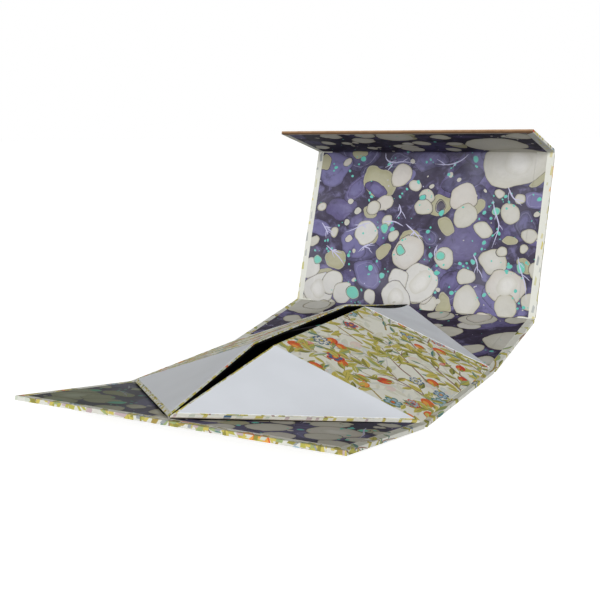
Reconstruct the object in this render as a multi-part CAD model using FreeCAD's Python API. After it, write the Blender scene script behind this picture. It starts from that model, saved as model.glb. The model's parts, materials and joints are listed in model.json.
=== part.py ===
"""Fold-flat magnetic gift box, half collapsed, with its lid up.

Five boards lie in one strip: front, base, back, lid and flap. A cover paper wraps their
outside and turns in over every edge, and a lining paper covers their inside. On the base
stands a folding collar: a left and a right side wall, each with a triangular gusset at its
front and its back end. The walls lean inwards, and the gussets spread over the front and
the back board.

X runs across the strip, Y from the front to the back, and Z up. The origin is the centre of
the base's underside. All sizes are in millimetres and all angles in degrees.
"""

import FreeCAD, Part
import os
from math import asin, cos, hypot, radians, sin, tan

from FreeCAD import Vector

# Overall sizes of the case, from crease to crease or from crease to free edge
box_width = 200.0
box_depth = 125.0
box_height = 100.0
flap_length = 66.0

# Boards and papers
board_thickness = 2.0
collar_board_thickness = 1.2
cover_thickness = 0.2
lining_thickness = 0.2
facing_thickness = 0.2

# The cover's turned-in edge: what shows, and what the lining hides
margin = 5.0
turn_in_lap = 8.0

# Folds of the case
fold_gap = 3.0
lid_clearance = 0.6
hinge_clearance = 0.3

# The collar
collar_inset = 3.0
tip_gap = 0.1
wall_score = 2.0
fold_score = 0.6
collar_clearance = 0.1
collar_rise = 0.4
collar_headroom = 0.6
wall_turn_in = 12.0
diagonal_border = 2.5
front_edge_border = 1.0
back_edge_border = 0.4
liner_inset = 0.5

# Magnets
magnet_diameter = 10.0
magnet_thickness = 1.0
magnet_clearance = 0.1
magnet_spacing = 120.0
magnet_edge_distance = 15.0

# The state of the folds: the walls' angle above the base, how far the front and the back
# board's lift falls short of the gussets', and the lid's and the flap's angle from level
wall_angle = 20.3
front_slack = 0.6
back_slack = 1.9
lid_angle = 70.5
flap_angle = 165.9

# How closely the offset of a folded sheet is worked out
offset_tolerance = 0.001

# Worked out from the sizes above
half_width = box_width / 2
case_thickness = cover_thickness + board_thickness + lining_thickness
lid_depth = box_depth + case_thickness + lid_clearance
board_top = cover_thickness + board_thickness
turn_in = margin + turn_in_lap
inner_half_width = half_width - turn_in
stack = cover_thickness + lining_thickness
gusset_angle = asin(tan(radians(wall_angle) / 2))
front_angle = gusset_angle - radians(front_slack)
back_angle = gusset_angle - radians(back_slack)


class Panel:
    """A straight stretch of the strip, from its start along its angle in the YZ plane."""

    def __init__(self, start, angle, length):
        self.start = start
        self.angle = angle
        self.length = length

    def at(self, along, height=0.0):
        """The (y, z) point that far along the panel's inner face and above it."""
        y = self.start[0] + along * cos(self.angle) - height * sin(self.angle)
        z = self.start[1] + along * sin(self.angle) + height * cos(self.angle)
        return (y, z)

    def end(self):
        return self.at(self.length)


base = Panel((-box_depth / 2, board_top), 0.0, box_depth)
front_edge = (
    base.start[0] - box_height * cos(front_angle),
    base.start[1] + box_height * sin(front_angle),
)
front = Panel(front_edge, -front_angle, box_height)
back = Panel(base.end(), back_angle, box_height)
lid = Panel(back.end(), radians(lid_angle), lid_depth)
flap = Panel(lid.end(), radians(flap_angle), flap_length)


def offset_line(points, distance):
    """The polyline moved to its left by a distance, with mitred corners."""
    moved = []
    for index, (y, z) in enumerate(points):
        normals = []
        for first, second in ((index - 1, index), (index, index + 1)):
            if first < 0 or second >= len(points):
                continue
            run = (points[second][0] - points[first][0], points[second][1] - points[first][1])
            size = hypot(*run)
            normals.append((-run[1] / size, run[0] / size))
        across = (sum(n[0] for n in normals), sum(n[1] for n in normals))
        square = across[0] ** 2 + across[1] ** 2
        scale = distance * len(normals) / square
        moved.append((y + across[0] * scale, z + across[1] * scale))
    return moved


def prism(section, x_start, x_end):
    """A YZ polygon extruded along X."""
    corners = [Vector(x_start, y, z) for y, z in section]
    face = Part.Face(Part.makePolygon(corners + corners[:1]))
    return face.extrude(Vector(x_end - x_start, 0, 0))


def layer(line, low, high, x_start, x_end):
    """The solid between two offsets of a line."""
    return prism(offset_line(line, low) + offset_line(line, high)[::-1], x_start, x_end)


def paper(path, thickness, x_start, x_end):
    """A sheet that lies on the right-hand side of its path."""
    return prism(path + offset_line(path, -thickness)[::-1], x_start, x_end)


def join(*solids):
    """One solid out of several that touch or overlap."""
    return solids[0].fuse(list(solids[1:])).removeSplitter()


def span(side, inner, outer):
    """The X range between two distances from the middle, on one side of it."""
    return (min(side * inner, side * outer), max(side * inner, side * outer))


def board(panel, start, end):
    section = [
        panel.at(start),
        panel.at(end),
        panel.at(end, -board_thickness),
        panel.at(start, -board_thickness),
    ]
    return prism(section, -half_width, half_width)


def board_range(panel):
    """Where the panel's board starts and ends: short of each fold, but not of a free edge."""
    start = 0.0 if panel is front else fold_gap / 2
    end = panel.length if panel is flap else panel.length - fold_gap / 2
    return (start, end)


def hinge_setback(first, second):
    """How far from a moving fold the papers stop, so that they swing clear of each other."""
    return stack * tan((second.angle - first.angle) / 2) + hinge_clearance


def outer_path(panels, start_setback, end_setback):
    """The line that the cover lies against: in from a free edge, round it, and into each fold."""
    path = []
    first, last = panels[0], panels[-1]
    if first is front:
        path += [first.at(turn_in), first.at(0)]
    else:
        path.append(first.at(start_setback))
    for panel in panels:
        start, end = board_range(panel)
        if panel is not front:
            path.append(panel.at(start))
        path += [panel.at(start, -board_thickness), panel.at(end, -board_thickness)]
        if panel is not flap:
            path.append(panel.at(end))
        if panel is not last:
            path.append(panel.end())
    if last is flap:
        path += [last.at(last.length), last.at(last.length - turn_in)]
    else:
        path.append(last.at(last.length - end_setback))
    return path


def inner_line(panels, start, end):
    """The inner face's line through a run of panels, from start to a distance short of its end."""
    folds = [panel.end() for panel in panels[:-1]]
    return [panels[0].at(start)] + folds + [panels[-1].at(panels[-1].length - end)]


def cover(panels, start_setback, end_setback):
    """The cover paper of a run of panels, with its sides turned in over the boards' edges."""
    path = outer_path(panels, start_setback, end_setback)
    pieces = [paper(path, cover_thickness, -half_width, half_width)]
    start = -cover_thickness if panels[0] is front else start_setback
    end = -cover_thickness if panels[-1] is flap else end_setback
    edge_line = inner_line(panels, start, end)
    flank = half_width + cover_thickness
    for side in (-1, 1):
        pieces.append(paper(path, cover_thickness, *span(side, half_width, flank)))
        pieces.append(layer(edge_line, 0, cover_thickness, *span(side, inner_half_width, flank)))
        for panel in panels:
            board_start, board_end = board_range(panel)
            section = [
                panel.at(board_start),
                panel.at(board_end),
                panel.at(board_end, -board_thickness),
                panel.at(board_start, -board_thickness),
            ]
            pieces.append(prism(section, *span(side, half_width, flank)))
    return join(*pieces)


def lining(panels, start_setback, end_setback):
    """The lining paper: flat on the boards, and stepped up over the cover's turned-in edges."""
    free_start = panels[0] is front
    free_end = panels[-1] is flap
    low_start = turn_in if free_start else start_setback
    low_end = turn_in if free_end else end_setback
    high_start = margin if free_start else start_setback
    high_end = margin if free_end else end_setback
    low_line = inner_line(panels, low_start, low_end)
    high_line = inner_line(panels, high_start, high_end)
    outer = half_width - margin
    riser = inner_half_width - lining_thickness
    pieces = [layer(low_line, 0, lining_thickness, -inner_half_width, inner_half_width)]
    for side in (-1, 1):
        pieces.append(layer(low_line, 0, stack, *span(side, riser, inner_half_width)))
        pieces.append(layer(high_line, cover_thickness, stack, *span(side, inner_half_width, outer)))
    for is_free, panel, edge, step in (
        (free_start, panels[0], margin, 1),
        (free_end, panels[-1], panels[-1].length - margin, -1),
    ):
        if not is_free:
            continue
        lap_end = edge + step * turn_in_lap
        rim = sorted((edge, lap_end))
        rise = sorted((lap_end, lap_end + step * lining_thickness))
        rim_line = [panel.at(rim[0]), panel.at(rim[1])]
        rise_line = [panel.at(rise[0]), panel.at(rise[1])]
        pieces.append(layer(rim_line, cover_thickness, stack, -inner_half_width, inner_half_width))
        pieces.append(layer(rise_line, 0, stack, -inner_half_width, inner_half_width))
    return join(*pieces)


def disc(panel, along, across, face_height, direction, diameter, depth):
    """A cylinder square to a panel, from a face of its board into the board."""
    y, z = panel.at(along, face_height)
    y_axis, z_axis = panel.at(along, face_height + direction)
    axis = Vector(0, y_axis - y, z_axis - z)
    return Part.makeCylinder(diameter / 2, depth, Vector(across, y, z), axis)


def magnets(panel, along, face_height, direction):
    """The left and the right magnet of a board, and the pockets that hold them."""
    places = (-magnet_spacing / 2, magnet_spacing / 2)
    pocket_diameter = magnet_diameter + 2 * magnet_clearance
    pocket_depth = magnet_thickness + magnet_clearance
    solids = []
    pockets = []
    for across in places:
        where = (panel, along, across, face_height, direction)
        solids.append(disc(*where, magnet_diameter, magnet_thickness))
        pockets.append(disc(*where, pocket_diameter, pocket_depth))
    return solids, pockets


# The collar's planes. Each runs through the top faces of its boards.
hinge_x = half_width - collar_inset
flange_bottom = board_top + stack
flange_top = flange_bottom + cover_thickness
hinge_z = flange_top + collar_rise
# The walls reach up to the closed lid, or less where their tips would meet in the middle
tip_lean = (collar_board_thickness + lining_thickness) * sin(radians(wall_angle))
collar_height = min(hinge_x - tip_lean - tip_gap, box_height - collar_headroom)


def collar_points(side):
    """The corners of one half of the collar, on the planes through its boards' top faces."""
    up_wall = Vector(-side * cos(radians(wall_angle)), 0, sin(radians(wall_angle)))
    points = {}
    for end, direction in (("front", -1), ("back", 1)):
        foot = Vector(side * hinge_x, direction * box_depth / 2, hinge_z)
        reach = Vector(-side, direction * cos(gusset_angle), sin(gusset_angle))
        points[end + "_foot"] = foot
        points[end + "_top"] = foot + up_wall * collar_height
        points[end + "_tip"] = foot + reach * collar_height
    return points


def facet_corners(side):
    """The wall and the two gussets as lists of corners, in turn about their upward normals."""
    at = collar_points(side)
    facets = {
        "wall": [at["front_foot"], at["back_foot"], at["back_top"], at["front_top"]],
        "front": [at["front_foot"], at["front_top"], at["front_tip"]],
        "back": [at["back_foot"], at["back_tip"], at["back_top"]],
    }
    if side < 0:
        facets = {name: corners[::-1] for name, corners in facets.items()}
    return facets


def facet_normal(corners):
    normal = (corners[1] - corners[0]).cross(corners[2] - corners[0])
    return normal.normalize()


def inset(corners, distances):
    """A polygon with each edge, from a corner to the next, moved inwards by its distance."""
    normal = facet_normal(corners)
    count = len(corners)
    moved = []
    for index, corner in enumerate(corners):
        before = (corner - corners[index - 1]).normalize()
        after = (corners[(index + 1) % count] - corner).normalize()
        in_before = normal.cross(before)
        in_after = normal.cross(after)
        d_before, d_after = distances[index - 1], distances[index]
        cosine = in_before.dot(in_after)
        scale = 1 / (1 - cosine ** 2)
        a = (d_before - d_after * cosine) * scale
        b = (d_after - d_before * cosine) * scale
        moved.append(corner + in_before * a + in_after * b)
    return moved


def plate(corners, thickness):
    """A flat plate from its corners, up along their normal, or down for a thickness under 0."""
    face = Part.Face(Part.makePolygon(corners + corners[:1]))
    return face.extrude(facet_normal(corners) * thickness)


def folded(side, thickness):
    """The wall and both gussets of one side as a single folded sheet, with mitred folds."""
    faces = []
    for corners in facet_corners(side).values():
        faces.append(Part.Face(Part.makePolygon(corners + corners[:1])))
    shell = Part.Shell(faces)
    mode, mitred = 0, 2
    return shell.makeOffsetShape(thickness, offset_tolerance, False, False, mode, mitred, True)


def below_walls():
    """All that lies under the side walls' level: the collar's boards stay clear of the feet."""
    top = flange_top + collar_clearance
    corner = Vector(-box_width, -box_depth, top - box_height)
    return Part.makeBox(2 * box_width, 2 * box_depth, box_height, corner)


def case_envelope():
    """All that lies under the case's papers: the collar is trimmed to stay clear of it."""
    line = inner_line([front, base, back], -box_height, -box_height)
    level = stack + collar_clearance
    low = [(line[-1][0], -box_height), (line[0][0], -box_height)]
    return prism(offset_line(line, level) + low, -box_width, box_width)


def edge_distances(side, facet, border):
    """The border of each of a facet's edges, in the order that facet_corners gives them."""
    orders = {
        "wall": ("hinge", "fold", "free", "fold"),
        "front": ("fold", "free", "diagonal"),
        "back": ("diagonal", "free", "fold"),
    }
    names = list(orders[facet])
    if side < 0:
        names = names[-2::-1] + names[-1:]
    return [border[name] for name in names]


def collar_board(side, facet, envelope):
    border = {
        "hinge": wall_score,
        "fold": fold_score,
        "free": cover_thickness,
        "diagonal": cover_thickness,
    }
    corners = inset(facet_corners(side)[facet], edge_distances(side, facet, border))
    solid = plate(corners, -collar_board_thickness)
    return solid.cut(below_walls() if facet == "wall" else envelope)


def wall_frame(side):
    """A side wall's unit vectors: up its slope, and out of its printed face."""
    at = collar_points(side)
    up_wall = (at["front_top"] - at["front_foot"]).normalize()
    return up_wall, facet_normal(facet_corners(side)["wall"])


def collar_foot(side):
    """The strip of a wall's cover that is glued to the base, and its bend up into the wall."""
    inner_x, outer_x = span(side, inner_half_width, hinge_x)
    half_depth = box_depth / 2 - fold_gap / 2
    corner = Vector(inner_x, -half_depth, flange_bottom)
    strip = Part.makeBox(outer_x - inner_x, 2 * half_depth, cover_thickness, corner)
    slope = radians(wall_angle)
    bend_section = [
        (hinge_x, flange_bottom),
        (hinge_x + cover_thickness * sin(slope), hinge_z + cover_thickness * cos(slope)),
        (hinge_x - cover_thickness, hinge_z + cover_thickness * tan(slope)),
        (hinge_x - cover_thickness, flange_bottom),
    ]
    corners = [Vector(side * x, -half_depth, z) for x, z in bend_section]
    bend = Part.Face(Part.makePolygon(corners + corners[:1]))
    return strip, bend.extrude(Vector(0, 2 * half_depth, 0))


def wall_turn(side):
    """The strip of a wall's cover that is turned over its top edge and glued under it."""
    up_wall, normal = wall_frame(side)
    wall = facet_corners(side)["wall"]
    border = {"hinge": 0.0, "fold": fold_score, "free": 0.0}
    middle_z = sum(corner.z for corner in wall) / len(wall)
    first, second = [c for c in inset(wall, edge_distances(side, "wall", border)) if c.z > middle_z]
    depth = collar_board_thickness + lining_thickness
    strips = []
    for top, reach, thickness in (
        (0.0, cover_thickness, depth + cover_thickness),
        (depth, wall_turn_in, cover_thickness),
    ):
        edge = [corner - normal * top for corner in (first, second)]
        edge += [corner - up_wall * reach for corner in edge[::-1]]
        face = Part.Face(Part.makePolygon(edge + edge[:1]))
        strips.append(face.extrude(normal * -thickness))
    return strips


def collar_cover(side):
    """The printed paper over one side of the collar."""
    return join(folded(side, cover_thickness), *collar_foot(side), *wall_turn(side))


def collar_lining(side, cover_paper, envelope):
    """The dark paper under one side of the collar, which faces the inside of the box."""
    deep = folded(side, -(collar_board_thickness + lining_thickness))
    shallow = folded(side, -collar_board_thickness)
    return deep.cut([shallow, envelope, below_walls(), cover_paper])


def gusset_facing(side, facet):
    free = front_edge_border if facet == "front" else back_edge_border
    diagonal = diagonal_border if facet == "front" else back_edge_border
    border = {"fold": 0.0, "free": free, "diagonal": diagonal}
    flat = facet_corners(side)[facet]
    normal = facet_normal(flat)
    corners = inset(flat, edge_distances(side, facet, border))
    raised = [corner + normal * cover_thickness for corner in corners]
    return plate(raised, facing_thickness)


def tray_liner():
    """The dark sheet on the base, with a triangle up the front board and one up the back."""
    half = inner_half_width - lining_thickness - liner_inset
    reach = box_height - turn_in - liner_inset
    line = inner_line([front, base, back], box_height - reach, box_height - reach)
    level = lining_thickness
    sheet = layer(line, level, level + facing_thickness, -half, half)
    depth = box_depth / 2
    slope = (hinge_x - half) / hinge_x
    corners = []
    for direction, angle in ((-1, front_angle), (1, back_angle)):
        tip = direction * (depth + hinge_x * cos(angle))
        shoulder = direction * (depth + hinge_x * slope * cos(angle))
        corners += [(-half * -direction, shoulder), (0.0, tip), (half * -direction, shoulder)]
    outline = [Vector(x, y, -box_height) for x, y in corners]
    column = Part.Face(Part.makePolygon(outline + outline[:1])).extrude(Vector(0, 0, 2 * box_height))
    return sheet.common(column)


def build():
    """Every piece of the box, by name."""
    fixed = [front, base, back]
    lid_setback = hinge_setback(back, lid)
    flap_setback = hinge_setback(lid, flap)
    # The closed flap lies down the front board from its free edge, so both distances are one
    magnet_along = flap_length - magnet_edge_distance
    flap_magnets, flap_pockets = magnets(flap, magnet_along, 0.0, -1)
    front_magnets, front_pockets = magnets(front, magnet_along, -board_thickness, 1)
    envelope = case_envelope()
    parts = {
        "front_board": board(front, *board_range(front)).cut(front_pockets),
        "base_board": board(base, *board_range(base)),
        "back_board": board(back, *board_range(back)),
        "lid_board": board(lid, *board_range(lid)),
        "flap_board": board(flap, *board_range(flap)).cut(flap_pockets),
        "case_cover": cover(fixed, 0.0, lid_setback),
        "lid_cover": cover([lid], lid_setback, flap_setback),
        "flap_cover": cover([flap], flap_setback, 0.0),
        "case_lining": lining(fixed, 0.0, lid_setback),
        "lid_lining": lining([lid], lid_setback, flap_setback),
        "flap_lining": lining([flap], flap_setback, 0.0),
        "tray_liner": tray_liner(),
    }
    for side, name in ((-1, "left"), (1, "right")):
        index = 0 if side < 0 else 1
        parts["flap_magnet_" + name] = flap_magnets[index]
        parts["front_magnet_" + name] = front_magnets[index]
        parts["side_wall_board_" + name] = collar_board(side, "wall", envelope)
        cover_paper = collar_cover(side)
        parts["collar_cover_" + name] = cover_paper
        parts["collar_lining_" + name] = collar_lining(side, cover_paper, envelope)
        for end in ("front", "back"):
            parts["gusset_board_" + end + "_" + name] = collar_board(side, end, envelope)
            parts["gusset_facing_" + end + "_" + name] = gusset_facing(side, end)
    return parts


def main():
    os.makedirs("parts", exist_ok=True)
    for name, shape in build().items():
        shape.exportStep(os.path.join("parts", name + ".step"))
        solids = len(shape.Solids)
        print(f"{name}: {solids} solid(s), {shape.Volume:.1f} mm3, valid {shape.isValid()}")
    lid_axis = offset_line([back.at(0), back.end(), lid.end()], stack)[1]
    flap_axis = offset_line([lid.at(0), lid.end(), flap.end()], stack)[1]
    print("lid hinge axis at y, z =", [round(value, 4) for value in lid_axis])
    print("flap hinge axis at y, z =", [round(value, 4) for value in flap_axis])


main()
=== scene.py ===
"""The looks of a fold-flat magnetic gift box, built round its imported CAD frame.

The box's papers are made as a bookbinder makes them. Each is laid out flat, inked with
shapes, cut into triangles along the shapes' edges, and folded onto the boards. The lining
is a marbled paper whose drops push each other aside as they do on the size. The cover
carries a print of branches, leaves, fruits and blossoms.

Lengths are in millimetres while a paper is laid out, and in metres in its mesh.
"""

import json
import logging
from dataclasses import dataclass, field
from enum import Enum
from math import asin, atan2, ceil, cos, hypot, pi, radians, sin, sqrt, tan
from random import Random
from typing import Callable, Sequence

import bpy
import numpy as np
from mathutils import Matrix, Vector
from mathutils.geometry import delaunay_2d_cdt


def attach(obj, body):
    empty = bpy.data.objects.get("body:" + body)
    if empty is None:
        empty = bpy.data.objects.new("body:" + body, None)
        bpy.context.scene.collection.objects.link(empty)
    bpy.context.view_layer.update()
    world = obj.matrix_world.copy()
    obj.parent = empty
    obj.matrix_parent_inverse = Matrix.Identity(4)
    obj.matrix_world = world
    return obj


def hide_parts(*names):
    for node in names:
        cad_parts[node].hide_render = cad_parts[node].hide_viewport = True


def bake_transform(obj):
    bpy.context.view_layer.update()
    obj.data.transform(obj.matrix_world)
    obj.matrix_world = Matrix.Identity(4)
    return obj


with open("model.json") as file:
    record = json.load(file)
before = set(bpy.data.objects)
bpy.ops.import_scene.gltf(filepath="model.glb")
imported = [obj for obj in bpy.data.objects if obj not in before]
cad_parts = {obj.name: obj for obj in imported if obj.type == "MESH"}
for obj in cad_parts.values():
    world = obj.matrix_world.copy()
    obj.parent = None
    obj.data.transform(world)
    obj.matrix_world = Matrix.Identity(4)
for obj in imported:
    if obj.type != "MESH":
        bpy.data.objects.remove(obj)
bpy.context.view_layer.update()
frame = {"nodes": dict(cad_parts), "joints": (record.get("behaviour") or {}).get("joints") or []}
log = logging.getLogger("gift_box")

MM = 0.001
FLAT_ORIGIN = 0.2
PAPER = 0.2
INK_LAYER = "ink_colour"
FLAT_MAP = "flat"

Place = tuple[float, float, float]
Colour = Place
Point = tuple[float, float]
Line = tuple[Point, Point]
Floats = Sequence[float]
Array = np.ndarray
Placer = Callable[[Array, float], Array]
Finish = bpy.types.Material
Piece = bpy.types.Object


def tint(red: float, green: float, blue: float) -> Colour:
    """A display colour, 0 to 255 a channel, as the linear colour that the shaders use."""
    shares = [channel / 255 for channel in (red, green, blue)]
    return tuple(s / 12.92 if s <= 0.04045 else ((s + 0.055) / 1.055) ** 2.4 for s in shares)


def blended(first: Colour, second: Colour, share: float) -> Colour:
    """A colour between two others, with this share of the second."""
    return tuple(a + (b - a) * share for a, b in zip(first, second))


def linked(name: str, data: bpy.types.ID) -> Piece:
    """Puts a new object into the scene.

    Args:
        name: Its name.
        data: Its mesh, camera or lamp.

    Returns:
        The object.
    """
    made = bpy.data.objects.new(name, data)
    bpy.context.scene.collection.objects.link(made)
    return made


def course(line: Sequence[Vector], k: int) -> tuple[Vector, Vector]:
    """Which way a line goes at its k-th point, and the unit vector to its left."""
    ahead = line[min(k + 1, len(line) - 1)] - line[max(k - 1, 0)]
    return ahead, Vector((-ahead.y, ahead.x)).normalized()


# ---- Shader graphs --------------------


class Wire:
    """A node's output, or a number, that shader maths can be written with."""

    def __init__(self, graph: "NodeGraph", socket: bpy.types.NodeSocket) -> None:
        """Takes a node's output in a graph."""
        self.graph = graph
        self.socket = socket

    def beside(self, output: str | int) -> "Wire":
        """Another output of the same node."""
        return Wire(self.graph, self.graph.socket(self.socket.node.outputs, output))

    def maths(self, operation: str, *values: "Wire | float") -> "Wire":
        """The result of a Math node with these values in its inputs."""
        return self.graph.node("ShaderNodeMath", {"operation": operation}, dict(enumerate(values)))

    def __add__(self, other: "Wire | float") -> "Wire":
        """The sum."""
        return self.maths("ADD", self, other)

    __radd__ = __add__

    def __sub__(self, other: "Wire | float") -> "Wire":
        """The difference."""
        return self.maths("SUBTRACT", self, other)

    def __rsub__(self, other: float) -> "Wire":
        """The difference, from a number."""
        return self.maths("SUBTRACT", other, self)

    def __mul__(self, other: "Wire | float") -> "Wire":
        """The product."""
        return self.maths("MULTIPLY", self, other)

    __rmul__ = __mul__

    def __truediv__(self, other: "Wire | float") -> "Wire":
        """The quotient."""
        return self.maths("DIVIDE", self, other)

    def smooth(self, low: float, high: float) -> "Wire":
        """A smooth step from zero at low to one at high, which may be the smaller of the two."""
        values = {"Value": self, "From Min": low, "From Max": high}
        return self.graph.node("ShaderNodeMapRange", {"interpolation_type": "SMOOTHSTEP"}, values)


class NodeGraph:
    """A tree of nodes that is written as expressions on its sockets."""

    def __init__(self, tree: bpy.types.NodeTree) -> None:
        """Takes the tree."""
        self.tree = tree

    def node(
        self, kind: str, settings: dict | None = None, values: dict | None = None, output: str | int = 0
    ) -> Wire:
        """Adds a node.

        Args:
            kind: The node's type.
            settings: Its properties, which are set first.
            values: Its inputs: a Wire is linked, and anything else is set.
            output: The output that is wanted.

        Returns:
            That output.
        """
        made = self.tree.nodes.new(kind)
        for key, value in (settings or {}).items():
            setattr(made, key, value)
        for key, value in (values or {}).items():
            self.feed(self.socket(made.inputs, key), value)
        return Wire(self, self.socket(made.outputs, output))

    @staticmethod
    def socket(sockets: Sequence[bpy.types.NodeSocket], key: str | int) -> bpy.types.NodeSocket:
        """One of a node's sockets, by its identifier, its name or its place."""
        named = [socket for socket in sockets if socket.identifier == key]
        return named[0] if named else sockets[key]

    def feed(self, socket: bpy.types.NodeSocket, value: object) -> None:
        """Links a Wire to an input, or sets the input to a number, colour or vector.

        Args:
            socket: The input.
            value: The Wire or the value.
        """
        if isinstance(value, Wire):
            self.tree.links.new(value.socket, socket)
        elif isinstance(value, tuple) and len(value) == 3 and socket.type == "RGBA":
            socket.default_value = (*value, 1.0)
        else:
            socket.default_value = value

    def mix(self, factor: "Wire | float", first: object, second: object, blend: str = "MIX") -> Wire:
        """Two colours mixed, with this share of the second."""
        settings = {"data_type": "RGBA", "blend_type": blend}
        return self.node("ShaderNodeMix", settings, {0: factor, 6: first, 7: second}, 2)

    def grey(self, level: Wire) -> Wire:
        """The grey of this level."""
        return self.node("ShaderNodeCombineColor", {}, {0: level, 1: level, 2: level})


class ShaderGraph(NodeGraph):
    """One material's nodes, round one Principled shader."""

    def __init__(self, name: str) -> None:
        """Starts a material.

        Args:
            name: Its name.
        """
        self.material = bpy.data.materials.new(name)
        self.material.use_nodes = True
        super().__init__(self.material.node_tree)
        self.shader = self.tree.nodes["Principled BSDF"]

    def finish(self, **values: object) -> Finish:
        """Feeds the Principled shader.

        Args:
            values: Its inputs by name, with an underscore for each space.

        Returns:
            The finished material.
        """
        for key, value in values.items():
            self.feed(self.shader.inputs[key.replace("_", " ")], value)
        return self.material

    def shaded(self, colour: object, shade: Wire) -> Wire:
        """A colour times a shade."""
        return self.mix(1.0, colour, self.grey(shade), "MULTIPLY")

    def noise(self, place: Wire, size: float, **values: float) -> Wire:
        """A noise about 0.5, from coordinates in metres, with its largest features' size in mm."""
        inputs = {"Vector": place, "Scale": 1 / (size * MM), **values}
        return self.node("ShaderNodeTexNoise", {}, inputs)

    def stretched(self, place: Wire, scale: Floats) -> Wire:
        """Coordinates times a factor for each axis."""
        values = {"Vector": place, "Scale": tuple(scale)}
        return self.node("ShaderNodeMapping", {"vector_type": "POINT"}, values)

    def flat_place(self) -> Wire:
        """Where a point of a paper lies when the paper is flat, in metres."""
        return self.node("ShaderNodeUVMap", {"uv_map": FLAT_MAP})

    def flat_spot(self) -> tuple[Wire, Wire]:
        """How far across and along the flat paper a point is, in millimetres."""
        across = self.node("ShaderNodeSeparateXYZ", {}, {0: self.flat_place()})
        return (across - FLAT_ORIGIN) * (1 / MM), (across.beside(1) - FLAT_ORIGIN) * (1 / MM)

    def object_place(self) -> Wire:
        """Where a point lies in the frame, in metres."""
        return self.node("ShaderNodeTexCoord", {}, {}, "Object")

    def bump(self, height: Wire, depth: float, strength: float) -> Wire:
        """The normal that a pattern bends, with the height of a step of one in millimetres."""
        values = {"Height": height, "Distance": depth * MM, "Strength": strength}
        return self.node("ShaderNodeBump", {}, values)


# ---- Finishes --------------------


@dataclass(frozen=True)
class PrintedPaper:
    """Cover paper: a satin stock with the ink's own colour laid thinly on it."""

    name: str = "printed_paper"
    fibre: float = 0.35
    cloud: float = 9.0
    wash: float = 1.6
    roughness: float = 0.5

    def material(self) -> Finish:
        """Builds the finish.

        Returns:
            The material.
        """
        graph = ShaderGraph(self.name)
        place = graph.flat_place()
        ink = graph.node("ShaderNodeAttribute", {"attribute_name": INK_LAYER})
        cloud = graph.noise(place, self.cloud, Detail=4.0)
        wash = graph.noise(place, self.wash, Detail=3.0, Roughness=0.65)
        colour = graph.shaded(ink, 0.9 + cloud * 0.1 + wash * 0.1)
        grain = graph.noise(place, self.fibre, Detail=3.0)
        return graph.finish(
            Base_Color=colour,
            Roughness=self.roughness + (grain - 0.5) * 0.15,
            Normal=graph.bump(grain + cloud * 2.0, 0.02, 0.35),
            Specular_IOR_Level=0.03,
        )


@dataclass(frozen=True)
class MarbledPaper:
    """Lining paper: the drops' colours, with the smoke of the size drawn through the dark ones, a painted
    sheen on the lid, and painted shade on the front board and the flap.
    """

    name: str = "marbled_paper"
    smoke: float = 26.0
    curl: float = 7.0
    fibre: float = 0.4
    # The size, in mm, of the patches of the sheen that is painted on the lid
    painted_sheen: float = 60.0
    dark: Colour = tint(44, 37, 52)
    light: Colour = tint(122, 117, 156)
    # The pale colour that the painted sheen on the lid goes towards
    pale: Colour = tint(190, 190, 206)
    # The next fields set the painted shade on the front board and the flap: its dark ink, its reach, and
    # the dark green tint of the front board's left end
    ink: Colour = tint(34, 34, 44)
    front: Point = (150.0, 110.0)
    lid: Point = (326.0, 453.0)
    corner: Point = (5.0, -64.0)
    painted_shadow_left_end: Point = (145.0, 95.0)
    moss: Colour = (0.32, 0.36, 0.27)
    roughness: float = 0.58

    def material(self) -> Finish:
        """Builds the finish.

        Returns:
            The material.
        """
        graph = ShaderGraph(self.name)
        place = graph.flat_place()
        ink = graph.node("ShaderNodeAttribute", {"attribute_name": INK_LAYER})
        share = ink.beside("Alpha")
        smoke = graph.noise(place, self.smoke, Detail=5.0, Roughness=0.55, Distortion=1.4)
        curl = graph.noise(place, self.curl, Detail=4.0, Roughness=0.6, Distortion=0.9)
        murk = (smoke * 0.65 + curl * 0.35).smooth(0.5, 0.36) * share * 0.8
        glow = (smoke * 0.6 + curl * 0.4).smooth(0.51, 0.66) * share * 0.75
        stained = graph.mix(glow, graph.mix(murk, ink, self.dark), self.light)
        across, along = graph.flat_spot()
        start, end = self.lid
        lid = along.smooth(start - 4, start + 4) * along.smooth(end + 2, end - 2)
        # Painted sheen: the lid goes pale in patches, as though it reflected bright surroundings
        painted_sheen = graph.noise(place, self.painted_sheen, Detail=3.0, Distortion=0.8).smooth(0.42, 0.7)
        stained = graph.mix(lid * (painted_sheen * 0.14 + 0.05), stained, self.pale)
        # Painted shade: the ground goes towards a dark ink on the front board and on the flap, and the
        # front board's left end is darker still
        painted_shade = along.smooth(*self.front) * 0.5 + along.smooth(end - 2, end + 2) * 0.6
        stained = graph.mix(painted_shade * share, stained, self.ink)
        # Painted shadow of the left gusset: the front board's left end is multiplied by a dark green tint
        painted_shadow_left_end = across.smooth(*self.corner) * along.smooth(*self.painted_shadow_left_end)
        stained = graph.mix(painted_shadow_left_end, stained, self.moss, "MULTIPLY")
        # The curl varies the tone at random; the flap's drop by 0.14 is painted shade
        shade = (0.91 + curl * 0.18) * (1 - along.smooth(end - 2, end + 2) * 0.14)
        grain = graph.noise(place, self.fibre, Detail=3.0)
        return graph.finish(
            Base_Color=graph.shaded(stained, shade),
            Roughness=self.roughness + (grain - 0.5) * 0.15,
            Normal=graph.bump(grain + smoke * 3.0, 0.02, 0.3),
            Specular_IOR_Level=0.03,
        )


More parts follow.
